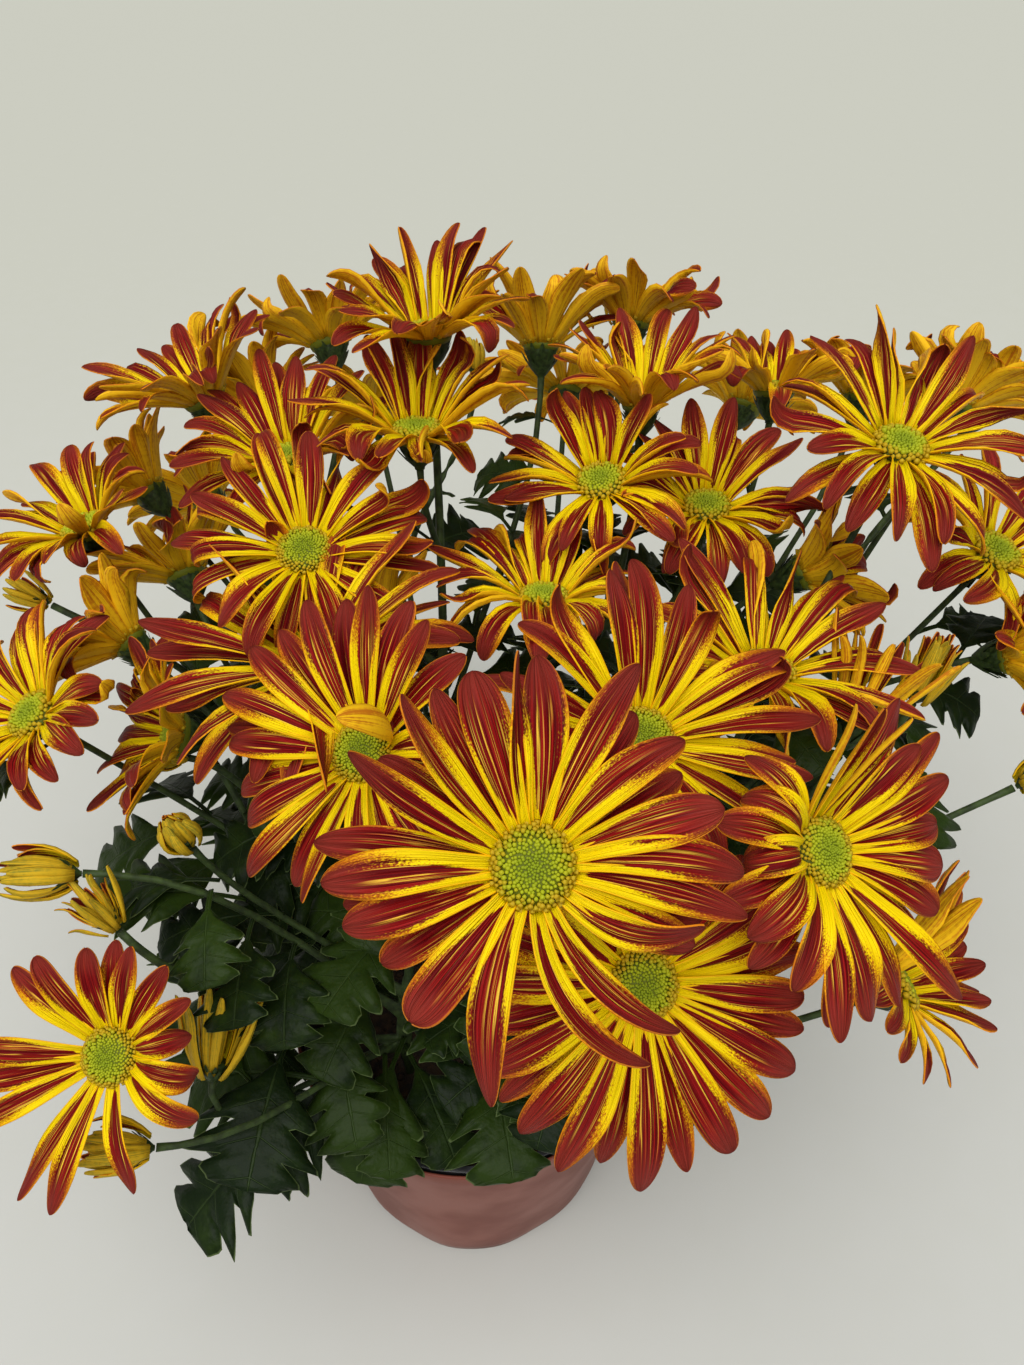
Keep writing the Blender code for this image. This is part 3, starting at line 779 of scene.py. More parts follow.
def draw_rays(rng, matrix, length, count, lift, droop, nod, unruly):
    """The straps of one head, drawn at random within its habit."""
    away = matrix.to_3x3().inverted() @ Vector((0, 1, 0))
    away = math.atan2(away.y, away.x)
    foot = STRAP["foot"] * youth(lift)
    rays = []
    for index in range(count):
        upper = index % 2
        angle = 360 * index / count + rng.uniform(-8, 8)
        far_side = math.cos(math.radians(angle) - away) * nod
        ray = dict(
            STRAP, angle=angle, lift=lift + far_side + (6 if upper else -6) + rng.uniform(-8, 8),
            droop=droop * rng.uniform(0.5, 1.5) * (1 - 0.025 * far_side), length=length * rng.uniform(0.82, 1.07),
            width=rng.uniform(7.2, 9.6), bow=rng.uniform(-22, 22), twist=rng.uniform(-30, 30),
            cup=rng.uniform(50, 120), height=0.5 * upper, tip_cup=rng.uniform(-90, 50), tip=rng.uniform(2.6, 6),
            hook=rng.uniform(-15, 45), seed=rng.random(), foot=foot,
        )
        if rng.random() < unruly:
            misbehave(rng, ray)
        rays.append(ray)
    return rays


def misbehave(rng, ray):
    """Give one ray a hooked, fallen, twisted or rolled shape."""
    choice = rng.randrange(5)
    if choice == 0:
        ray.update(hook=-rng.uniform(60, 130), cup=110)
    elif choice == 1:
        ray.update(hook=rng.uniform(50, 120), tip_cup=-60)
    elif choice == 2:
        ray.update(twist=rng.choice((-1, 1)) * rng.uniform(70, 160))
    elif choice == 3:
        ray.update(cup=190, tip_cup=150, width=ray["width"] * 0.9, bow=rng.uniform(-35, 35))
    else:
        ray.update(bow=rng.choice((-1, 1)) * rng.uniform(30, 60), twist=rng.uniform(-50, 50))


def build_head(name, matrix, rays, rng, stands_for=(), size=1.0):
    """The three pieces of a head: rays, disc and bract cup."""
    bm, grain = new_skin()
    for ray in rays:
        add_strap(bm, grain, ray, matrix)
    near = name in NEAR_HEADS
    finish_piece(name + "_rays", bm, (RAY_FRONT, RAY_BACK), stands_for, PETAL_THICKNESS, int(near))
    bm, grain = new_skin()
    add_disc(bm, grain, matrix @ Matrix.Diagonal((size, size, size, 1)), rng, DISC_FLORETS * (2 if near else 1))
    finish_piece(name + "_disc", bm, (DISC,))
    bm, grain = new_skin()
    add_cup(bm, grain, matrix, rng, width=size)
    finish_piece(name + "_bracts", bm, (BRACT,))


NEAR_HEADS = ("flower_01", "flower_02", "flower_03", "flower_04", "flower_05", "flower_06", "flower_33")

# %% [markdown]
# ## The heads that are seen closest
# A random draw gives a fair crowd, but the nearest head fills a third of the view, and its rays each have a
# habit of their own. They are set one by one, as a florist would turn them: the angle runs anticlockwise from
# the side the head leans to. Columns: angle, length, width, lift, droop, bow, twist and tip, where a low tip is
# pointed and a high one blunt. The narrowest rays stay rolled up like quills.

# %% Set the nearest heads one by one
ROLLED_BELOW = 5
SET_RAYS = {
    "flower_01": (
        (171, 34, 9.8, 22, 18, 22, -10, 5), (157, 37, 8.4, 26, 20, -14, 16, 4), (138, 32, 8.8, 30, 34, -24, -20, 4),
        (110, 31, 9.8, 20, 26, -10, 10, 8), (98, 35, 8.8, 16, 34, -28, 0, 5), (82, 34, 8.6, 8, 14, -14, 0, 3),
        (48, 29, 7.2, 12, -14, 66, 50, 4), (60, 28, 8.6, 2, 14, 14, 0, 5), (22, 35, 6.2, 16, 24, 56, -34, 3),
        (4, 38, 5.8, 18, 28, 74, -34, 3), (337, 37, 9.2, 24, 34, 34, 24, 2.4), (321, 29, 9.4, 18, 28, 0, 0, 12),
        (290, 31, 8.8, 16, 20, -8, 0, 6), (302, 27, 8.0, 2, 12, 0, 0, 6), (271, 33, 9.6, 20, 30, 10, 0, 7),
        (281, 30, 8.4, 4, 10, 0, 0, 6), (261, 35, 8.0, 12, 16, 8, 0, 5), (245, 35, 7.2, 28, 18, -16, -20, 3),
        (226, 35, 6.8, 24, 14, -22, 34, 3), (213, 32, 8.2, 14, 12, -10, 10, 4), (199, 33, 9.8, 22, 22, -4, 0, 8),
        (189, 35, 6.0, 28, 16, -14, 80, 4), (148, 30, 8.0, 4, 10, -6, 0, 5), (122, 28, 8.2, 2, 10, 0, 0, 5),
        (73, 27, 8.0, 0, 10, 0, 0, 5), (235, 30, 8.0, 2, 8, 0, 0, 5),
    ),
    "flower_02": (
        (101, 29, 8.4, 16, 20, 8, 0, 5), (93, 34, 9.0, 8, 16, 0, 0, 6), (81, 31, 9.2, 18, 24, -6, 0, 8),
        (67, 33, 9.0, 12, 20, 0, 0, 5), (53, 36, 9.8, 16, 24, 0, 0, 7), (37, 38, 9.6, 10, 16, 0, 0, 6),
        (20, 39, 9.8, 14, 22, 4, 0, 5), (7, 38, 8.4, 6, 14, 0, 0, 4), (353, 42, 9.4, 14, 24, 0, 0, 6),
        (341, 37, 9.0, 6, 14, 0, 0, 5), (329, 39, 9.4, 16, 24, -6, 0, 6), (312, 37, 9.8, 12, 20, 0, 0, 7),
        (299, 35, 9.0, 6, 14, 6, 0, 5), (288, 36, 9.2, 18, 24, 0, 0, 6), (274, 34, 9.0, 10, 20, 0, 0, 5),
        (259, 33, 9.4, 16, 24, 0, 0, 5), (243, 33, 9.0, 10, 20, 0, 0, 5), (227, 32, 9.2, 18, 24, 0, 0, 5),
        (209, 32, 9.0, 12, 20, 0, 0, 5), (191, 32, 9.2, 18, 24, 0, 0, 5), (171, 32, 9.0, 12, 20, 0, 0, 5),
        (151, 32, 9.2, 18, 24, 0, 0, 5), (133, 32, 9.0, 12, 20, 0, 0, 5), (117, 31, 9.0, 18, 24, 0, 0, 5),
    ),
    "flower_03": (
        (339, 32, 9.8, 16, 30, 0, 0, 10), (8, 42, 8.8, 18, 22, 8, 0, 4), (0, 35, 8.0, 4, 14, -6, 0, 4),
        (19, 33, 8.4, 4, 16, 0, 0, 5), (36, 30, 9.2, 18, 34, -8, 10, 6), (50, 29, 9.8, 22, 34, 0, 0, 12),
        (28, 30, 8.2, -4, 10, 0, 0, 5), (66, 29, 9.2, 24, 28, 0, 0, 6), (58, 31, 8.2, 4, 16, 0, 0, 5),
        (82, 33, 9.0, 28, 24, 0, 0, 4), (96, 35, 8.6, 30, 18, 8, 0, 3), (107, 28, 8.0, 38, 20, -8, 0, 4),
        (121, 34, 8.2, 34, 14, 0, 0, 4), (140, 34, 4.6, 50, -14, 0, 40, 4), (158, 36, 4.8, 50, -18, 12, -30, 4),
        (174, 36, 4.6, 46, -16, -12, 40, 4), (190, 25, 8.4, 40, 90, 0, 0, 4), (206, 24, 9.0, 56, 150, 0, 10, 5),
        (224, 25, 9.2, 36, 90, 0, 0, 5), (240, 24, 9.6, 60, 170, 8, 20, 6), (256, 26, 8.4, 26, 70, 0, 0, 5),
        (271, 27, 9.8, 44, 104, 8, 24, 5), (297, 28, 9.4, 36, 84, 14, 10, 4), (284, 27, 8.0, 10, 30, 0, 0, 5),
        (313, 35, 8.2, 24, 34, 10, 20, 4), (326, 32, 8.6, 4, 16, 0, 0, 5),
    ),
    "flower_05": (
        (268, 38, 9.2, 28, 44, 0, 0, 5), (250, 38, 9.2, 30, 34, -6, 0, 4), (288, 32, 9.2, 24, 50, -10, 0, 5),
        (306, 32, 8.8, 10, 34, -10, 0, 5), (324, 32, 9.0, 22, 56, -16, 0, 5), (342, 40, 8.2, 18, 48, -20, 0, 4),
        (7, 36, 5.8, 20, 44, -20, 20, 3), (355, 33, 8.2, 6, 30, -10, 0, 5), (24, 31, 8.4, 22, 64, 10, 20, 5),
        (42, 30, 8.8, 14, 40, 0, 0, 5), (58, 29, 9.0, 24, 64, 0, 0, 6), (75, 29, 9.0, 20, 44, 0, 0, 5),
        (92, 29, 9.2, 34, 70, 0, 0, 6), (110, 29, 9.4, 50, 76, -6, 0, 4), (129, 31, 9.4, 54, -110, 0, 0, 5),
        (145, 33, 9.0, 36, 30, 0, 0, 5), (160, 35, 9.0, 44, 24, 8, 0, 4), (176, 36, 9.4, 36, 26, 0, 0, 5),
        (192, 38, 9.0, 40, 26, 0, 0, 4), (206, 35, 9.2, 28, 26, 0, 0, 5), (221, 37, 9.4, 38, 28, -6, 0, 4),
        (236, 36, 9.0, 24, 30, 0, 0, 5), (278, 35, 8.6, 8, 24, 0, 0, 5),
    ),
    "flower_33": (
        (237, 31, 8.6, 20, 18, 0, 0, 5), (223, 29, 8.4, 30, 24, 0, 0, 5), (196, 26, 9.0, 34, 26, 0, 10, 4),
        (182, 27, 8.4, 26, 18, 0, 0, 4), (169, 28, 8.4, 34, 24, 6, 0, 3.4), (151, 27, 8.0, 30, 28, 0, 20, 3),
        (131, 26, 7.6, 38, 40, 0, -20, 4), (112, 22, 8.0, 56, 130, 0, 0, 5), (86, 24, 9.4, 48, 120, 0, 10, 6),
        (62, 27, 9.4, 38, 90, 10, 20, 6), (20, 31, 8.4, 22, 44, 8, 24, 3), (350, 37, 8.6, 16, 24, 0, 0, 3.4),
        (335, 38, 7.4, 12, 16, 4, 24, 3), (305, 38, 8.6, 16, 20, 0, 0, 3), (289, 37, 8.4, 10, 14, 0, 0, 4),
        (274, 34, 8.4, 20, 20, 0, 0, 4),
    ),
    "flower_25": (
        (0, 27, 4.6, 62, 0, 8, 30, 4), (28, 30, 4.8, 70, 8, -8, -30, 4), (55, 24, 4.4, 66, -12, 10, 30, 4),
        (84, 28, 4.8, 74, 8, 0, 20, 4), (112, 31, 4.6, 64, -8, -10, -20, 4), (140, 25, 4.8, 72, 10, 8, 30, 4),
        (168, 30, 4.6, 66, 0, 0, -30, 4), (196, 27, 4.8, 72, -10, -8, 20, 4), (226, 31, 4.6, 64, 12, 10, -20, 4),
        (256, 24, 4.8, 70, 0, 0, 30, 4), (286, 29, 4.6, 60, -8, -12, -30, 4), (320, 26, 4.8, 70, 8, 8, 20, 4),
    ),
    "flower_36": (
        (318, 27, 8.4, 30, 16, 0, 0, 4), (334, 29, 8.6, 46, 14, 0, 0, 4), (348, 29, 8.8, 56, 20, 8, 0, 4),
        (2, 30, 8.8, 48, 12, 0, 0, 4), (16, 31, 8.6, 62, 16, -8, 0, 4), (30, 31, 8.8, 54, 10, 0, 0, 3.4),
        (45, 33, 8.6, 68, 16, 6, 0, 4), (60, 34, 8.8, 58, 6, 0, 0, 4), (75, 34, 8.6, 70, 14, -6, 0, 4),
        (90, 36, 8.8, 62, 4, 0, 0, 3.4), (105, 36, 8.6, 72, 12, 6, 0, 4), (120, 37, 8.6, 64, 4, 0, 0, 4),
        (136, 37, 8.8, 74, 10, 0, 0, 4), (152, 36, 8.8, 66, 6, 0, 0, 4), (168, 34, 8.4, 74, 10, 0, 0, 4),
        (186, 24, 8.0, -6, 20, 0, 0, 4), (208, 20, 8.0, -12, 20, 0, 0, 4), (230, 19, 8.0, -12, 20, 0, 0, 4),
        (254, 20, 8.0, -12, 20, 0, 0, 4), (278, 22, 8.0, -4, 20, 0, 0, 4), (298, 24, 8.0, 10, 20, 0, 0, 4),
    ),
}


def set_rays(rng, rows):
    """The straps of a head whose rays are set one by one."""
    rays = []
    for index, (angle, length, width, lift, droop, bow, twist, tip) in enumerate(rows):
        rolled = width < ROLLED_BELOW
        rays.append(dict(
            STRAP, angle=angle, length=length, width=width, lift=lift, droop=droop, bow=bow, twist=twist, tip=tip,
            cup=200 if rolled else rng.uniform(60, 110), tip_cup=140 if rolled else rng.uniform(-90, 40),
            hook=rng.uniform(-10, 25), seed=rng.random(), height=0.25 * (index % 3),
        ))
    return rays


for name, matrix in heads.items():
    rng = random.Random(name)
    habit = HEAD_HABITS[name]
    rays = set_rays(rng, SET_RAYS[name]) if name in SET_RAYS else draw_rays(rng, matrix, *habit)
    build_head(name, matrix, rays, rng, (name,), youth(habit[2]))
print("heads built:", len(heads))

# %% [markdown]
# ## Buds
# A bud is the same thing before it opens: a small cup of scales, and petals packed round a core with their
# backs outwards. In a closed bud the straps bulge and lean together at the top. In an opening one they stand
# apart like the hairs of a brush, uneven in length. Rows of the table: petals, how steeply they leave the cup,
# how much they close over it, and how much they fray. One bud is so far open that it is built as a small head.

# %% Build the buds
BUD_HABITS = {
    "bud_1": (26, 68, 20, 0.45), "bud_2": (16, 46, 78, 0.0), "bud_3": (22, 52, 92, 0.1), "bud_4": (26, 50, 74, 0.5),
    "bud_5": (26, 50, 70, 0.5), "bud_6": (26, 60, 34, 0.4),
}
HALF_OPEN = {"bud_7": (25, 16, 56, 62, 0, 0.4)}


def build_bud(name, matrix, length, radius, habit, stands_for=()):
    """One bud, its length and radius in mm; matrix places its foot."""
    rng = random.Random(name)
    petals, lift, closing, fray = habit
    width = mix(0.62, 0.42, fray) * radius
    bm, grain = new_skin()
    for index in range(petals):
        inner = index % 3
        petal = dict(
            STRAP, angle=360 * index / petals * 3 + 120 / petals * inner + rng.uniform(-8, 8), seed=rng.random(),
            foot=radius * mix(0.5, 0.2, inner / 2), height=1.5 + 1.2 * inner, width=width * rng.uniform(0.8, 1.1),
            length=length * rng.uniform(1 - 0.4 * fray, 1 + 0.12 * fray), foot_width=0.6,
            lift=lift + 9 * inner + rng.uniform(-12, 12) * fray, droop=-closing * (1 - 0.2 * inner),
            cup=110, fold=90, tip_cup=90, tip=mix(3.5, 2.2, fray), bow=rng.uniform(-9, 9) * (1 + 2 * fray),
            twist=rng.uniform(-12, 12) * (1 + 4 * fray), hook=rng.uniform(-30, 60) * fray,
        )
        add_strap(bm, grain, petal, matrix, rows=8)
    finish_piece(name + "_petals", bm, (RAY_FRONT, BUD_BACK), stands_for, PETAL_THICKNESS)
    bm, grain = new_skin()
    add_cup(bm, grain, matrix @ Matrix.Translation((0, 0, 6.2 * MM)), rng, size=radius / 14, scale_length=13)
    finish_piece(name + "_bracts", bm, (BRACT,))


bud_names = sorted(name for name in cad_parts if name.startswith("bud_"))
for name in bud_names:
    foot, axis, length, radius = turned_axis(name)
    if name in HALF_OPEN:
        rng = random.Random(name)
        habit = HALF_OPEN[name]
        matrix = facing_matrix(foot + axis * CALYX_DEPTH, axis)
        build_head(name, matrix, draw_rays(rng, matrix, *habit), rng, (name,), youth(habit[2]))
    else:
        build_bud(name, facing_matrix(foot, axis), length / MM, radius / MM, BUD_HABITS[name], (name,))
print("buds built:", len(bud_names))

# %% [markdown]
# ## Small side heads and buds
# Between the measured heads a few more look through, too small and too deep in the plant to be solids of their
# own. They are built the same way, and each gets a stalk, because a head without one would float when the plant
# is seen from the side. A stalk is a grid rolled into a tube round its route and closed at the seam.

# %% Add the side heads and buds
STALK_RADIUS = 1.3 * MM
STALK_BEND = 0.35
STALK_ROWS = 14
STALK_SIDES = 8
SIDE_HEADS = {
    "side_head_1": ((-55, 164, 305), 110, 40, "shoot_4", (28, 24, 46, 30, 6, 0.4)),
    "side_head_2": ((-85, 166, 278), 125, 45, "shoot_4", (28, 22, 50, 26, 0, 0.4)),
    "side_head_3": ((193, 136, 292), 40, 50, "shoot_2", (24, 22, 54, 22, 0, 0.3)),
    "side_head_4": ((118, 196, 262), 60, 55, "shoot_3", (30, 24, 42, 30, 0, 0.4)),
    "side_head_5": ((-118, 168, 232), 140, 65, "shoot_4", (30, 24, 40, 34, 0, 0.4)),
}
SIDE_BUDS = {
    "side_bud_1": ((-102, -40, 210), 150, 45, "shoot_6", 17, 6.5, (22, 60, 24, 1.0)),
    "side_bud_2": ((-104, 36, 232), -120, 30, "shoot_5", 11, 5.5, (14, 46, 76, 0.0)),
    "side_bud_3": ((-94, 21, 222), -140, 50, "shoot_5", 10, 5, (14, 46, 76, 0.0)),
    "side_bud_4": ((-155, 82, 240), 170, 60, "shoot_5", 14, 6, (16, 54, 44, 0.3)),
    "side_bud_5": ((60, 190, 300), 80, 30, "shoot_3", 12, 6, (14, 46, 76, 0.0)),
    "side_bud_6": ((0, 185, 282), 100, 40, "shoot_4", 12, 6, (14, 46, 76, 0.0)),
}


def lean_matrix(place, towards, lean):
    """The place in mm of a head's middle or a bud's foot, its compass direction and its lean from upright."""
    turn = Matrix.Rotation(math.radians(towards), 4, "Z") @ Matrix.Rotation(math.radians(lean), 4, "Y")
    return Matrix.Translation(Vector(place) * MM) @ turn


def stalk_route(matrix, foot_depth, node):
    """From a head's foot down and inwards to the measured stem that is nearest below it."""
    foot = matrix @ Vector((0, 0, -foot_depth))
    goal = Vector((foot.x * 0.72, foot.y * 0.72, foot.z - 0.055))
    joint = Vector(min(corner_points(node), key=lambda corner: (Vector(corner) - goal).length))
    down = matrix.to_3x3() @ Vector((0, 0, -1)) * (joint - foot).length * STALK_BEND
    rise = Vector((0, 0, -1)) * (joint - foot).length * STALK_BEND
    route = []
    for step in range(STALK_ROWS + 1):
        share = step / STALK_ROWS
        back = 1 - share
        point = foot * back**3 + (foot + down) * 3 * back**2 * share + (joint - rise) * 3 * back * share**2
        route.append(point + joint * share**3)
    return route


def add_tube(bm, route, radius):
    """Roll a grid into a closed tube round a route."""
    made = bmesh.ops.create_grid(bm, x_segments=STALK_SIDES, y_segments=STALK_ROWS, size=1)
    for vert in made["verts"]:
        row = round((vert.co.y + 1) / 2 * STALK_ROWS)
        turn = (vert.co.x + 1) * math.pi
        forward = (route[min(row + 1, STALK_ROWS)] - route[max(row - 1, 0)]).normalized()
        side = forward.orthogonal().normalized()
        vert.co = route[row] + (side * math.cos(turn) + forward.cross(side) * math.sin(turn)) * radius
    bmesh.ops.remove_doubles(bm, verts=bm.verts, dist=0.01 * MM)
    bmesh.ops.holes_fill(bm, edges=bm.edges, sides=0)
    bmesh.ops.recalc_face_normals(bm, faces=bm.faces)


def build_stalk(name, route):
    """The stalk of a side head or bud."""
    bm = bmesh.new()
    add_tube(bm, route, STALK_RADIUS)
    finish_piece(name + "_stalk", bm, (STEM,))


for name, (place, towards, lean, node, habit) in SIDE_HEADS.items():
    rng = random.Random(name)
    matrix = lean_matrix(place, towards, lean)
    build_head(name, matrix, draw_rays(rng, matrix, *habit), rng, (), youth(habit[2]))
    build_stalk(name, stalk_route(matrix, CALYX_DEPTH, node))
for name, (place, towards, lean, node, length, radius, habit) in SIDE_BUDS.items():
    matrix = lean_matrix(place, towards, lean)
    build_bud(name, matrix, length, radius, habit)
    build_stalk(name, stalk_route(matrix, 0, node))
print("side heads and buds:", len(SIDE_HEADS), len(SIDE_BUDS))

# %% [markdown]
# ## Stems
# The measured shoots already fork the way the plant does. They are loose triangles with sharp corners, so a
# copy is merged and its vertices are eased towards their neighbours until the forks flow into the stalks. The
# vertices at a stalk's end stay put, because easing would draw them back from the head.

# %% Smooth the stems
STALK_END = 3 * MM
shoot_names = sorted(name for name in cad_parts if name.startswith("shoot_"))
stalk_ends = [matrix @ Vector((0, 0, -CALYX_DEPTH)) for matrix in heads.values()]
stalk_ends.extend(turned_axis(name)[0] for name in bud_names)


def build_stem(node):
    """A smoothed copy of one measured shoot."""
    bm = bmesh.new()
    bm.from_mesh(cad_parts[node].data)
    bmesh.ops.remove_doubles(bm, verts=bm.verts, dist=0.02 * MM)
    inner = [vert for vert in bm.verts if all((vert.co - end).length > STALK_END for end in stalk_ends)]
    for item in range(2):
        bmesh.ops.smooth_vert(bm, verts=inner, factor=0.3, use_axis_x=True, use_axis_y=True, use_axis_z=True)
    finish_piece(node.replace("shoot", "stem"), bm, (STEM,), (node,))


for name in shoot_names:
    build_stem(name)
print("stems built:", len(shoot_names))

# %% [markdown]
# ## Leaves
# A leaf has two pairs of rounded lobes and a toothed end lobe, and each lobe points forwards. A flat outline
# could be cut out and bent, but the veins would then have to be drawn by hand. Here a grid is laid along the
# midrib. A row's half width follows the outline, and points further from the midrib are pushed forwards, so a
# row runs along a lobe as its vein does. The blade is folded a little, dips at its margins and hangs over.

# %% Shape a leaf
LEAF_ROWS = 30
LEAF_COLUMNS = 4
PETIOLE_SHARE = 0.26
PETIOLE_HALF = 0.9
LEAF_THICKNESS = 0.3 * MM
LEAF_OUTLINE = (
    (0.0, 0.05), (0.08, 0.22), (0.15, 0.62), (0.22, 0.86), (0.29, 0.92), (0.345, 0.80), (0.38, 0.44), (0.41, 0.42),
    (0.47, 0.84), (0.55, 1.0), (0.62, 0.94), (0.665, 0.50), (0.69, 0.48), (0.75, 0.72), (0.83, 0.74), (0.89, 0.62),
    (0.95, 0.46), (1.0, 0.14),
)
LOBE_PUSH = 0.60


def leaf_half_width(share):
    """The outline's half width at a share of the blade, as a fraction of the widest."""
    for (start, low), (end, high) in zip(LEAF_OUTLINE, LEAF_OUTLINE[1:]):
        if share <= end:
            return mix(low, high, smooth_step(start, end, share))
    return LEAF_OUTLINE[-1][1]


def route_point(route, share):
    """The place and direction at a share of a route's length."""
    lengths = [(b - a).length for a, b in zip(route, route[1:])]
    wanted = share * sum(lengths)
    for index, length in enumerate(lengths):
        if wanted <= length or index == len(lengths) - 1:
            return route[index].lerp(route[index + 1], min(wanted / length, 1)), index
        wanted = wanted - length


def add_leaf(bm, grain, route, half_width, rng, roll=0):
    """Add one leaf whose midrib follows a route from the stem to the tip; half_width is in metres."""
    seed = rng.random()
    blade = (route[-1] - route[0]).length * (1 - PETIOLE_SHARE)
    heading = (route[-1] - route[0]).xy.normalized()
    across = Matrix.Rotation(math.radians(roll), 3, (heading.x, heading.y, 0)) @ Vector((heading.y, -heading.x, 0))
    skew = rng.uniform(-0.12, 0.12)
    made = bmesh.ops.create_grid(bm, x_segments=LEAF_COLUMNS, y_segments=LEAF_ROWS, size=1)
    rows = []
    for row in range(LEAF_ROWS + 1):
        share = row / LEAF_ROWS
        here = route_point(route, share)[0]
        ahead = route_point(route, min(share + 0.03, 1))[0]
        back = route_point(route, max(share - 0.03, 0))[0]
        forward = (ahead - back).normalized()
        rows.append((share, here, forward, across.cross(forward).normalized()))
    for vert in made["verts"]:
        side = vert.co.x
        share, here, forward, up = rows[round((vert.co.y + 1) / 2 * LEAF_ROWS)]
        on_blade = max((share - PETIOLE_SHARE) / (1 - PETIOLE_SHARE), 0)
        wobble = 1 + skew * side + 0.08 * math.sin(31 * on_blade + 20 * seed + side)
        half = max(leaf_half_width(on_blade) * half_width * wobble, PETIOLE_HALF * MM)
        if on_blade == 0:
            half = PETIOLE_HALF * MM
        reach = abs(side) * half
        push = reach * LOBE_PUSH * math.sqrt(max(1 - on_blade, 0)) * smooth_step(0, 0.08, on_blade)
        lift = reach * 0.32 - reach * abs(side) * 0.38
        lift = lift + 0.05 * half_width * math.sin(17 * on_blade + 9 * side + 30 * seed) * abs(side) * smooth_step(0, 0.2, on_blade)
        vert[grain] = (side, on_blade, seed)
        vert.co = here + across * side * half + forward * push + up * lift


def slope_route(start, towards, slope_start, slope_end, length, steps=12):
    """A midrib that leaves its stem at one slope and hangs at another; angles in degrees."""
    heading = Vector((math.cos(math.radians(towards)), math.sin(math.radians(towards)), 0))
    route = [start]
    for step in range(steps):
        slope = math.radians(mix(slope_start, slope_end, (step + 0.5) / steps))
        route.append(route[-1] + (heading * math.cos(slope) + Vector((0, 0, math.sin(slope)))) * (length / steps))
    return route


def measured_midrib(node):
    """The midrib of a measured leaf, from its petiole's foot to its tip, and its widest half width."""
    corners = corner_points(node)
    middle = corners.mean(axis=0)
    spread, directions = np.linalg.eigh(np.cov((corners[:, :2] - middle[:2]).T))
    best = None
    for column in range(2):
        heading = directions[:, column]
        offset = (corners[:, :2] - middle[:2]) @ np.array((-heading[1], heading[0]))
        on_line = np.abs(offset) < 0.25 * MM
        if best is None or on_line.sum() > best[0]:
            best = (on_line.sum(), heading, on_line, np.abs(offset).max())
    count, heading, on_line, half_width = best
    line = corners[on_line]
    line = line[np.argsort((line[:, :2] - middle[:2]) @ heading)]
    pairs = [Vector((line[index] + line[index + 1]) / 2) for index in range(0, len(line) - 1, 2)]
    if pairs[0].xy.length > pairs[-1].xy.length:
        pairs.reverse()
    return pairs, float(half_width)


leaf_names = sorted(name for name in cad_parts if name.startswith("leaf_"))
for name in leaf_names:
    route, half_width = measured_midrib(name)
    bm, grain = new_skin()
    add_leaf(bm, grain, route, half_width, random.Random(name))
    finish_piece(name + "_blade", bm, (LEAF_UPPER, LEAF_LOWER), (name,), LEAF_THICKNESS)
print("measured leaves:", len(leaf_names))

# %% [markdown]
# ## Foliage
# The rest of the foliage fills the plant between the stems. Its leaves could be strewn in the air, but from the
# side or below they would float. So each starts on a point of a stem's surface, a node's distance from the
# others, and heads outwards. Low leaves are long and hang, and the ones below the heads are short. In front the
# lowest ones are missing, which leaves the pot's rim in view. A leaf that would cut through a head or a bud is
# turned until it keeps clear, and left out if it can't.

# %% Grow leaves from the stems
LEAF_SPACING = 8 * MM
LOWEST_LEAF = 114 * MM
HIGHEST_LEAF = 268 * MM
HIGHEST_IN_FRONT = 215 * MM
POT_IN_VIEW = (-22 * MM, 75 * MM)
LOWEST_IN_VIEW = 122 * MM
LEAF_LONG = 54
LEAF_SHORT = 32
HEAD_ROOM = (42, -5, 28)
REACH_IN_FRONT = 112 * MM
BUD_ROOM = 15 * MM
TRIES = 8


def leaf_feet(node, rng):
    """Points on a stem's surface at least a node's distance apart."""
    corners = [Vector(corner) for corner in corner_points(node)]
    rng.shuffle(corners)
    feet = []
    for corner in corners:
        in_front = corner.y < 0 and corner.x > POT_IN_VIEW[0]
        if in_front and corner.x > POT_IN_VIEW[1]:
            continue
        lowest = LOWEST_IN_VIEW if in_front else LOWEST_LEAF
        highest = HIGHEST_IN_FRONT if corner.y < -30 * MM else HIGHEST_LEAF
        if lowest < corner.z < highest and all((corner - foot).length > LEAF_SPACING for foot in feet):
            feet.append(corner)
    return feet


def keeps_clear(route):
    """Whether a leaf's midrib stays out of every head's dish of rays and out of the buds, and not far in front."""
    across, low, high = HEAD_ROOM
    if route[-1].y < -30 * MM and route[-1].xy.length > REACH_IN_FRONT:
        return False
    for point in route[2:]:
        for matrix in head_homes:
            local = matrix @ point / MM
            if low < local.z < high and local.xy.length < across:
                return False
        if any((point - bud).length < BUD_ROOM for bud in bud_homes):
            return False
    return True


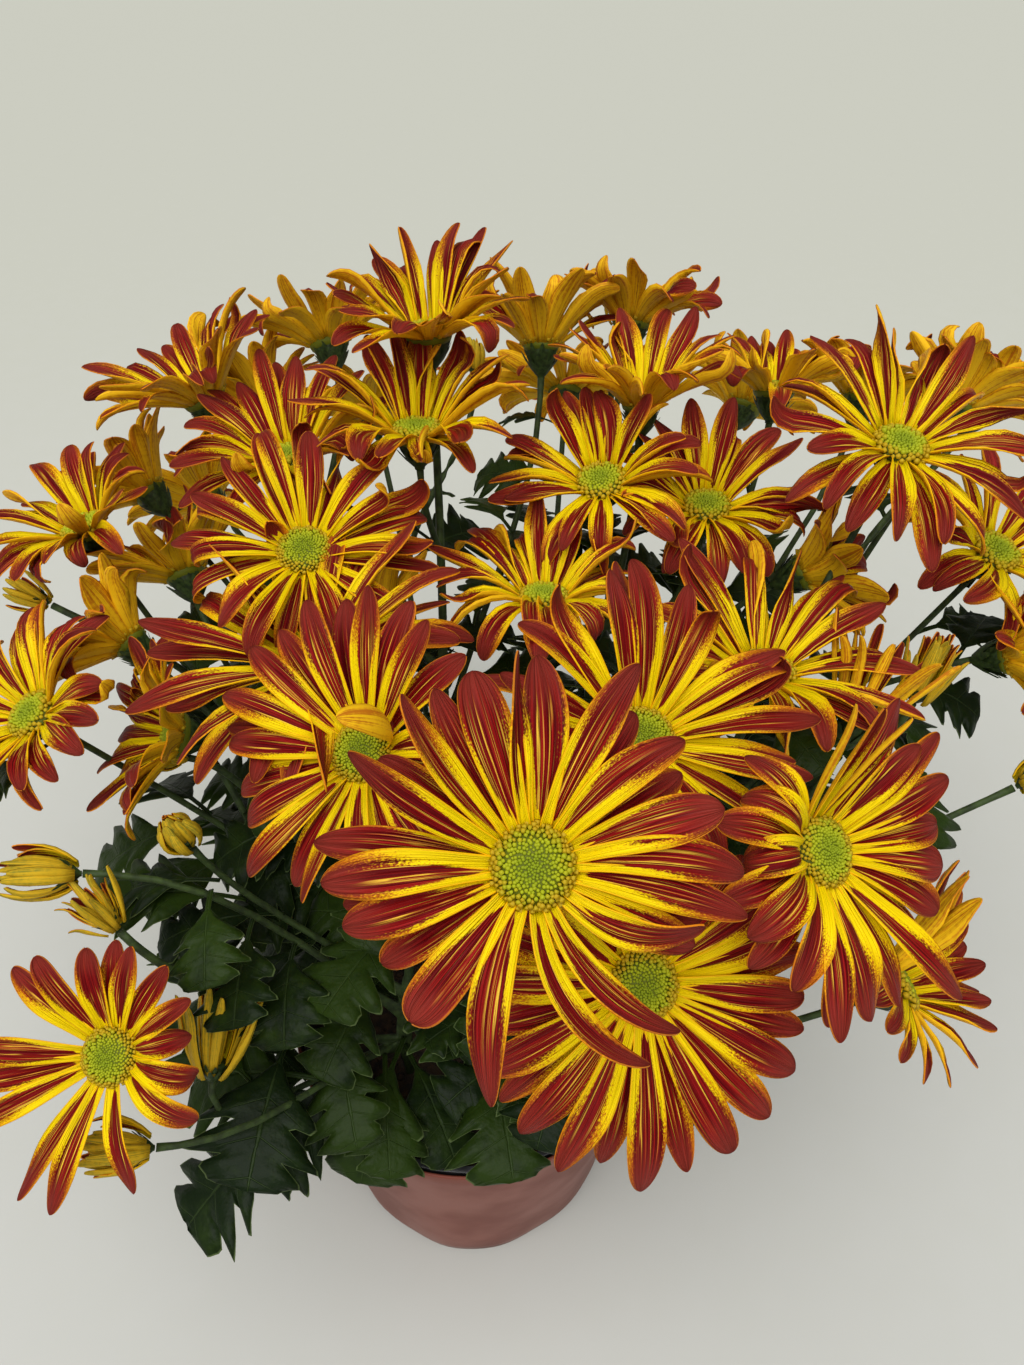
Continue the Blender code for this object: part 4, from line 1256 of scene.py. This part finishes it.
head_homes = [matrix.inverted() for matrix in heads.values()]
head_homes.extend(lean_matrix(*row[:3]).inverted() for row in SIDE_HEADS.values())
bud_homes = [Vector(sum(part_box(name), Vector()) / 2) for name in bud_names]
bud_homes.extend(lean_matrix(*row[:3]) @ Vector((0, 0, 0.5 * row[4] * MM)) for row in SIDE_BUDS.values())
leaf_total = 0
for name in shoot_names:
    rng = random.Random(name)
    bm, grain = new_skin()
    for foot in leaf_feet(name, rng):
        height = (foot.z - LOWEST_LEAF) / (HIGHEST_LEAF - LOWEST_LEAF)
        size = mix(LEAF_LONG, LEAF_SHORT, height) * rng.uniform(0.8, 1.1)
        if foot.y < 0 and foot.x > POT_IN_VIEW[0] and height < 0.3:
            size = size * 0.72
        for attempt in range(TRIES):
            towards = math.degrees(math.atan2(foot.y, foot.x)) + rng.uniform(-85, 85)
            route = slope_route(foot, towards, rng.uniform(5, 35), rng.uniform(-50, -10), size * MM)
            if keeps_clear(route):
                add_leaf(bm, grain, route, size * rng.uniform(0.33, 0.4) * MM, rng, roll=rng.uniform(-25, 25))
                leaf_total = leaf_total + 1
                break
    finish_piece(name.replace("shoot", "foliage"), bm, (LEAF_UPPER, LEAF_LOWER), (), LEAF_THICKNESS)
print("leaves grown:", leaf_total)

# %% [markdown]
# ## The pot cover
# The cover is a thin plastic cup. Its outline is turned once round, and the wall gets its thickness from the
# outline itself, so the rim and the base stay closed. Real thin plastic is never a true cone: low on the wall
# it dents in soft waves, which a formula adds after the spin.

# %% Turn the cover
COVER_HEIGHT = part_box("pot_cover")[1].z
COVER_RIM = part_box("pot_cover")[1].x
COVER_BASE = 57.5 * MM
COVER_WALL = 1.2 * MM
COVER_STEPS = 96
WAVE = 0.7 * MM


def turn_outline(bm, outline, steps):
    """Spin an outline of (radius, height) points once round Z into a closed skin."""
    verts = [bm.verts.new((across, 0, height)) for across, height in outline]
    edges = [bm.edges.new(pair) for pair in zip(verts, verts[1:])]
    bmesh.ops.spin(
        bm, geom=verts + edges, cent=(0, 0, 0), axis=(0, 0, 1), angle=2 * math.pi, steps=steps, use_merge=True,
    )
    bmesh.ops.remove_doubles(bm, verts=bm.verts, dist=0.005 * MM)
    bmesh.ops.recalc_face_normals(bm, faces=bm.faces)


def cover_outline():
    """Base, outer wall, rounded rim, inner wall and floor."""
    outside = [(mix(COVER_BASE, COVER_RIM, step / 12), COVER_HEIGHT * step / 12) for step in range(12)]
    rim_middle = COVER_RIM - COVER_WALL / 2
    rim = []
    for step in range(7):
        turn = math.pi * step / 6
        rim.append((rim_middle + math.cos(turn) * COVER_WALL / 2, COVER_HEIGHT - COVER_WALL / 2 * (1 - math.sin(turn))))
    inside = [(across - COVER_WALL, height) for across, height in reversed(outside[1:])]
    floor = [(COVER_BASE - 2 * COVER_WALL, COVER_WALL), (0, COVER_WALL)]
    return [(0, 0), (COVER_BASE - 3 * MM, 0), (COVER_BASE - MM, 0.3 * MM)] + outside[1:] + rim + inside + floor


bm, grain = new_skin()
turn_outline(bm, cover_outline(), COVER_STEPS)
for vert in bm.verts:
    across = vert.co.xy.length
    if across > COVER_BASE / 2:
        angle = math.atan2(vert.co.y, vert.co.x)
        low = 1 - smooth_step(0.1, 0.8, vert.co.z / COVER_HEIGHT)
        bend = math.sin(3 * angle + 0.8) + 0.6 * math.sin(7 * angle + 40 * vert.co.z) + 0.3 * math.sin(13 * angle)
        vert.co.xy = vert.co.xy * (1 + WAVE * bend * low / across)
finish_piece("cover_shell", bm, (COVER,), ("pot_cover",))
print("cover height in mm:", round(COVER_HEIGHT / MM, 1))

# %% [markdown]
# ## The nursery pot
# It hardly shows: a dark rim just inside the cover. The measured pot has the right walls and drain holes, so a
# copy of it is merged and its sharp lip is rounded with a bevel.

# %% Round the nursery pot's lip
LIP_ROUND = 0.35 * MM
SHARP = math.radians(35)

bm, grain = new_skin()
bm.from_mesh(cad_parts["grow_pot"].data)
bmesh.ops.remove_doubles(bm, verts=bm.verts, dist=0.02 * MM)
lip_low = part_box("grow_pot")[1].z - 5 * MM
lip = [
    edge for edge in bm.edges
    if len(edge.link_faces) == 2 and edge.calc_face_angle() > SHARP and min(v.co.z for v in edge.verts) > lip_low
]
bmesh.ops.bevel(bm, geom=lip, offset=LIP_ROUND, affect="EDGES", segments=2, profile=0.5, material=-1)
nursery = finish_piece("nursery_pot", bm, (NURSERY,), ("grow_pot",))
nursery.data.set_sharp_from_angle(angle=SHARP)
print("lip edges rounded:", len(lip))

# %% [markdown]
# ## The potting mix
# The mix is a plug of peat with a rough top. A smooth disc would look like a lid, so its top is turned with
# many rings and roughened by noise, and loose crumbs lie on it.

# %% Fill the mix
MIX_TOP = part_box("potting_mix")[1].z
MIX_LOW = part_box("potting_mix")[0].z
MIX_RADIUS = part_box("potting_mix")[1].x
MIX_RINGS = 26
CRUMBS = 260

bm, grain = new_skin()
top = [(MIX_RADIUS * step / MIX_RINGS, MIX_TOP - 2 * MM * (step / MIX_RINGS) ** 2) for step in range(MIX_RINGS + 1)]
turn_outline(bm, [(0, MIX_LOW), (MIX_RADIUS * 0.83, MIX_LOW)] + list(reversed(top)), 72)
for vert in bm.verts:
    if vert.co.z > MIX_LOW + 40 * MM and vert.co.xy.length < MIX_RADIUS * 0.995:
        vert.co.z = vert.co.z + 1.6 * MM * noise.noise(vert.co * 160) - 0.9 * MM
rng = random.Random("crumbs")
for index in range(CRUMBS):
    out = MIX_RADIUS * 0.93 * math.sqrt(rng.random())
    angle = rng.uniform(0, 2 * math.pi)
    size = rng.uniform(0.8, 2.4) * MM
    place = Vector((out * math.cos(angle), out * math.sin(angle), MIX_TOP - 2 * MM * (out / MIX_RADIUS) ** 2 - 0.4 * MM))
    stretch = Matrix.Diagonal((rng.uniform(0.7, 1.6), rng.uniform(0.6, 1.1), rng.uniform(0.5, 0.9), 1))
    turn = Matrix.Rotation(rng.uniform(0, math.pi), 4, "Z")
    bmesh.ops.create_icosphere(bm, subdivisions=1, radius=size, matrix=Matrix.Translation(place) @ turn @ stretch)
finish_piece("peat_plug", bm, (PEAT,), ("potting_mix",))
print("crumbs:", CRUMBS)

# %% [markdown]
# ## Floor
# A pale floor carries the shadow. Its colour holds painted light: lighter in front and painted darker towards the back,
# where it also turns warmer.

# %% Lay the floor
FLOOR_SIZE = 14
# Painted light on the floor: the front colour is painted lighter, the back colour painted darker and warmer.
FLOOR_FRONT_PAINTED_LIGHTER = (0.555, 0.558, 0.522, 1)
FLOOR_BACK_PAINTED_DARKER = (0.515, 0.52, 0.455, 1)


def paint_floor():
    """Pale matt paper, a little warmer towards the back, with painted light: lighter in front and darker towards the
    back.
    """
    material, tree, shader = new_finish("floor_paper", 0.9, 0.1)
    place = add_node(tree, "TexCoord")
    parts = add_node(tree, "SeparateXYZ")
    tree.links.new(place.outputs["Object"], parts.inputs[0])
    # Front to back: a painted fall-off of the light over the floor, with random soft clouds.
    share = sum_of(tree, "ADD", ramp(tree, parts.outputs[1], -0.3, 1.2), ramp(tree, freckles(tree, 0.02), 0, 1, -0.1, 0.1))
    tree.links.new(blend(tree, share, FLOOR_FRONT_PAINTED_LIGHTER, FLOOR_BACK_PAINTED_DARKER), shader.inputs["Base Color"])
    return material


bm = bmesh.new()
bmesh.ops.create_grid(bm, x_segments=2, y_segments=2, size=FLOOR_SIZE / 2)
floor_mesh = bpy.data.meshes.new("floor")
bm.to_mesh(floor_mesh)
bm.free()
floor_mesh.materials.append(paint_floor())
floor = bpy.data.objects.new("floor", floor_mesh)
scene.collection.objects.link(floor)
floor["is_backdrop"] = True
print("floor in m:", FLOOR_SIZE)

# %% [markdown]
# ## Both boxes
# The finished plant's box is printed beside the measured box; soft petals may stand proud of the
# measured one.

# %% Measure and finish
finished_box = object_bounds()
sizes = {
    "cad": [list(corner) for corner in measured_box],
    "visual": [list(corner) for corner in finished_box],
}
for label, (low, high) in sizes.items():
    print(label, [round(value / MM, 1) for value in low], [round(value / MM, 1) for value in high])
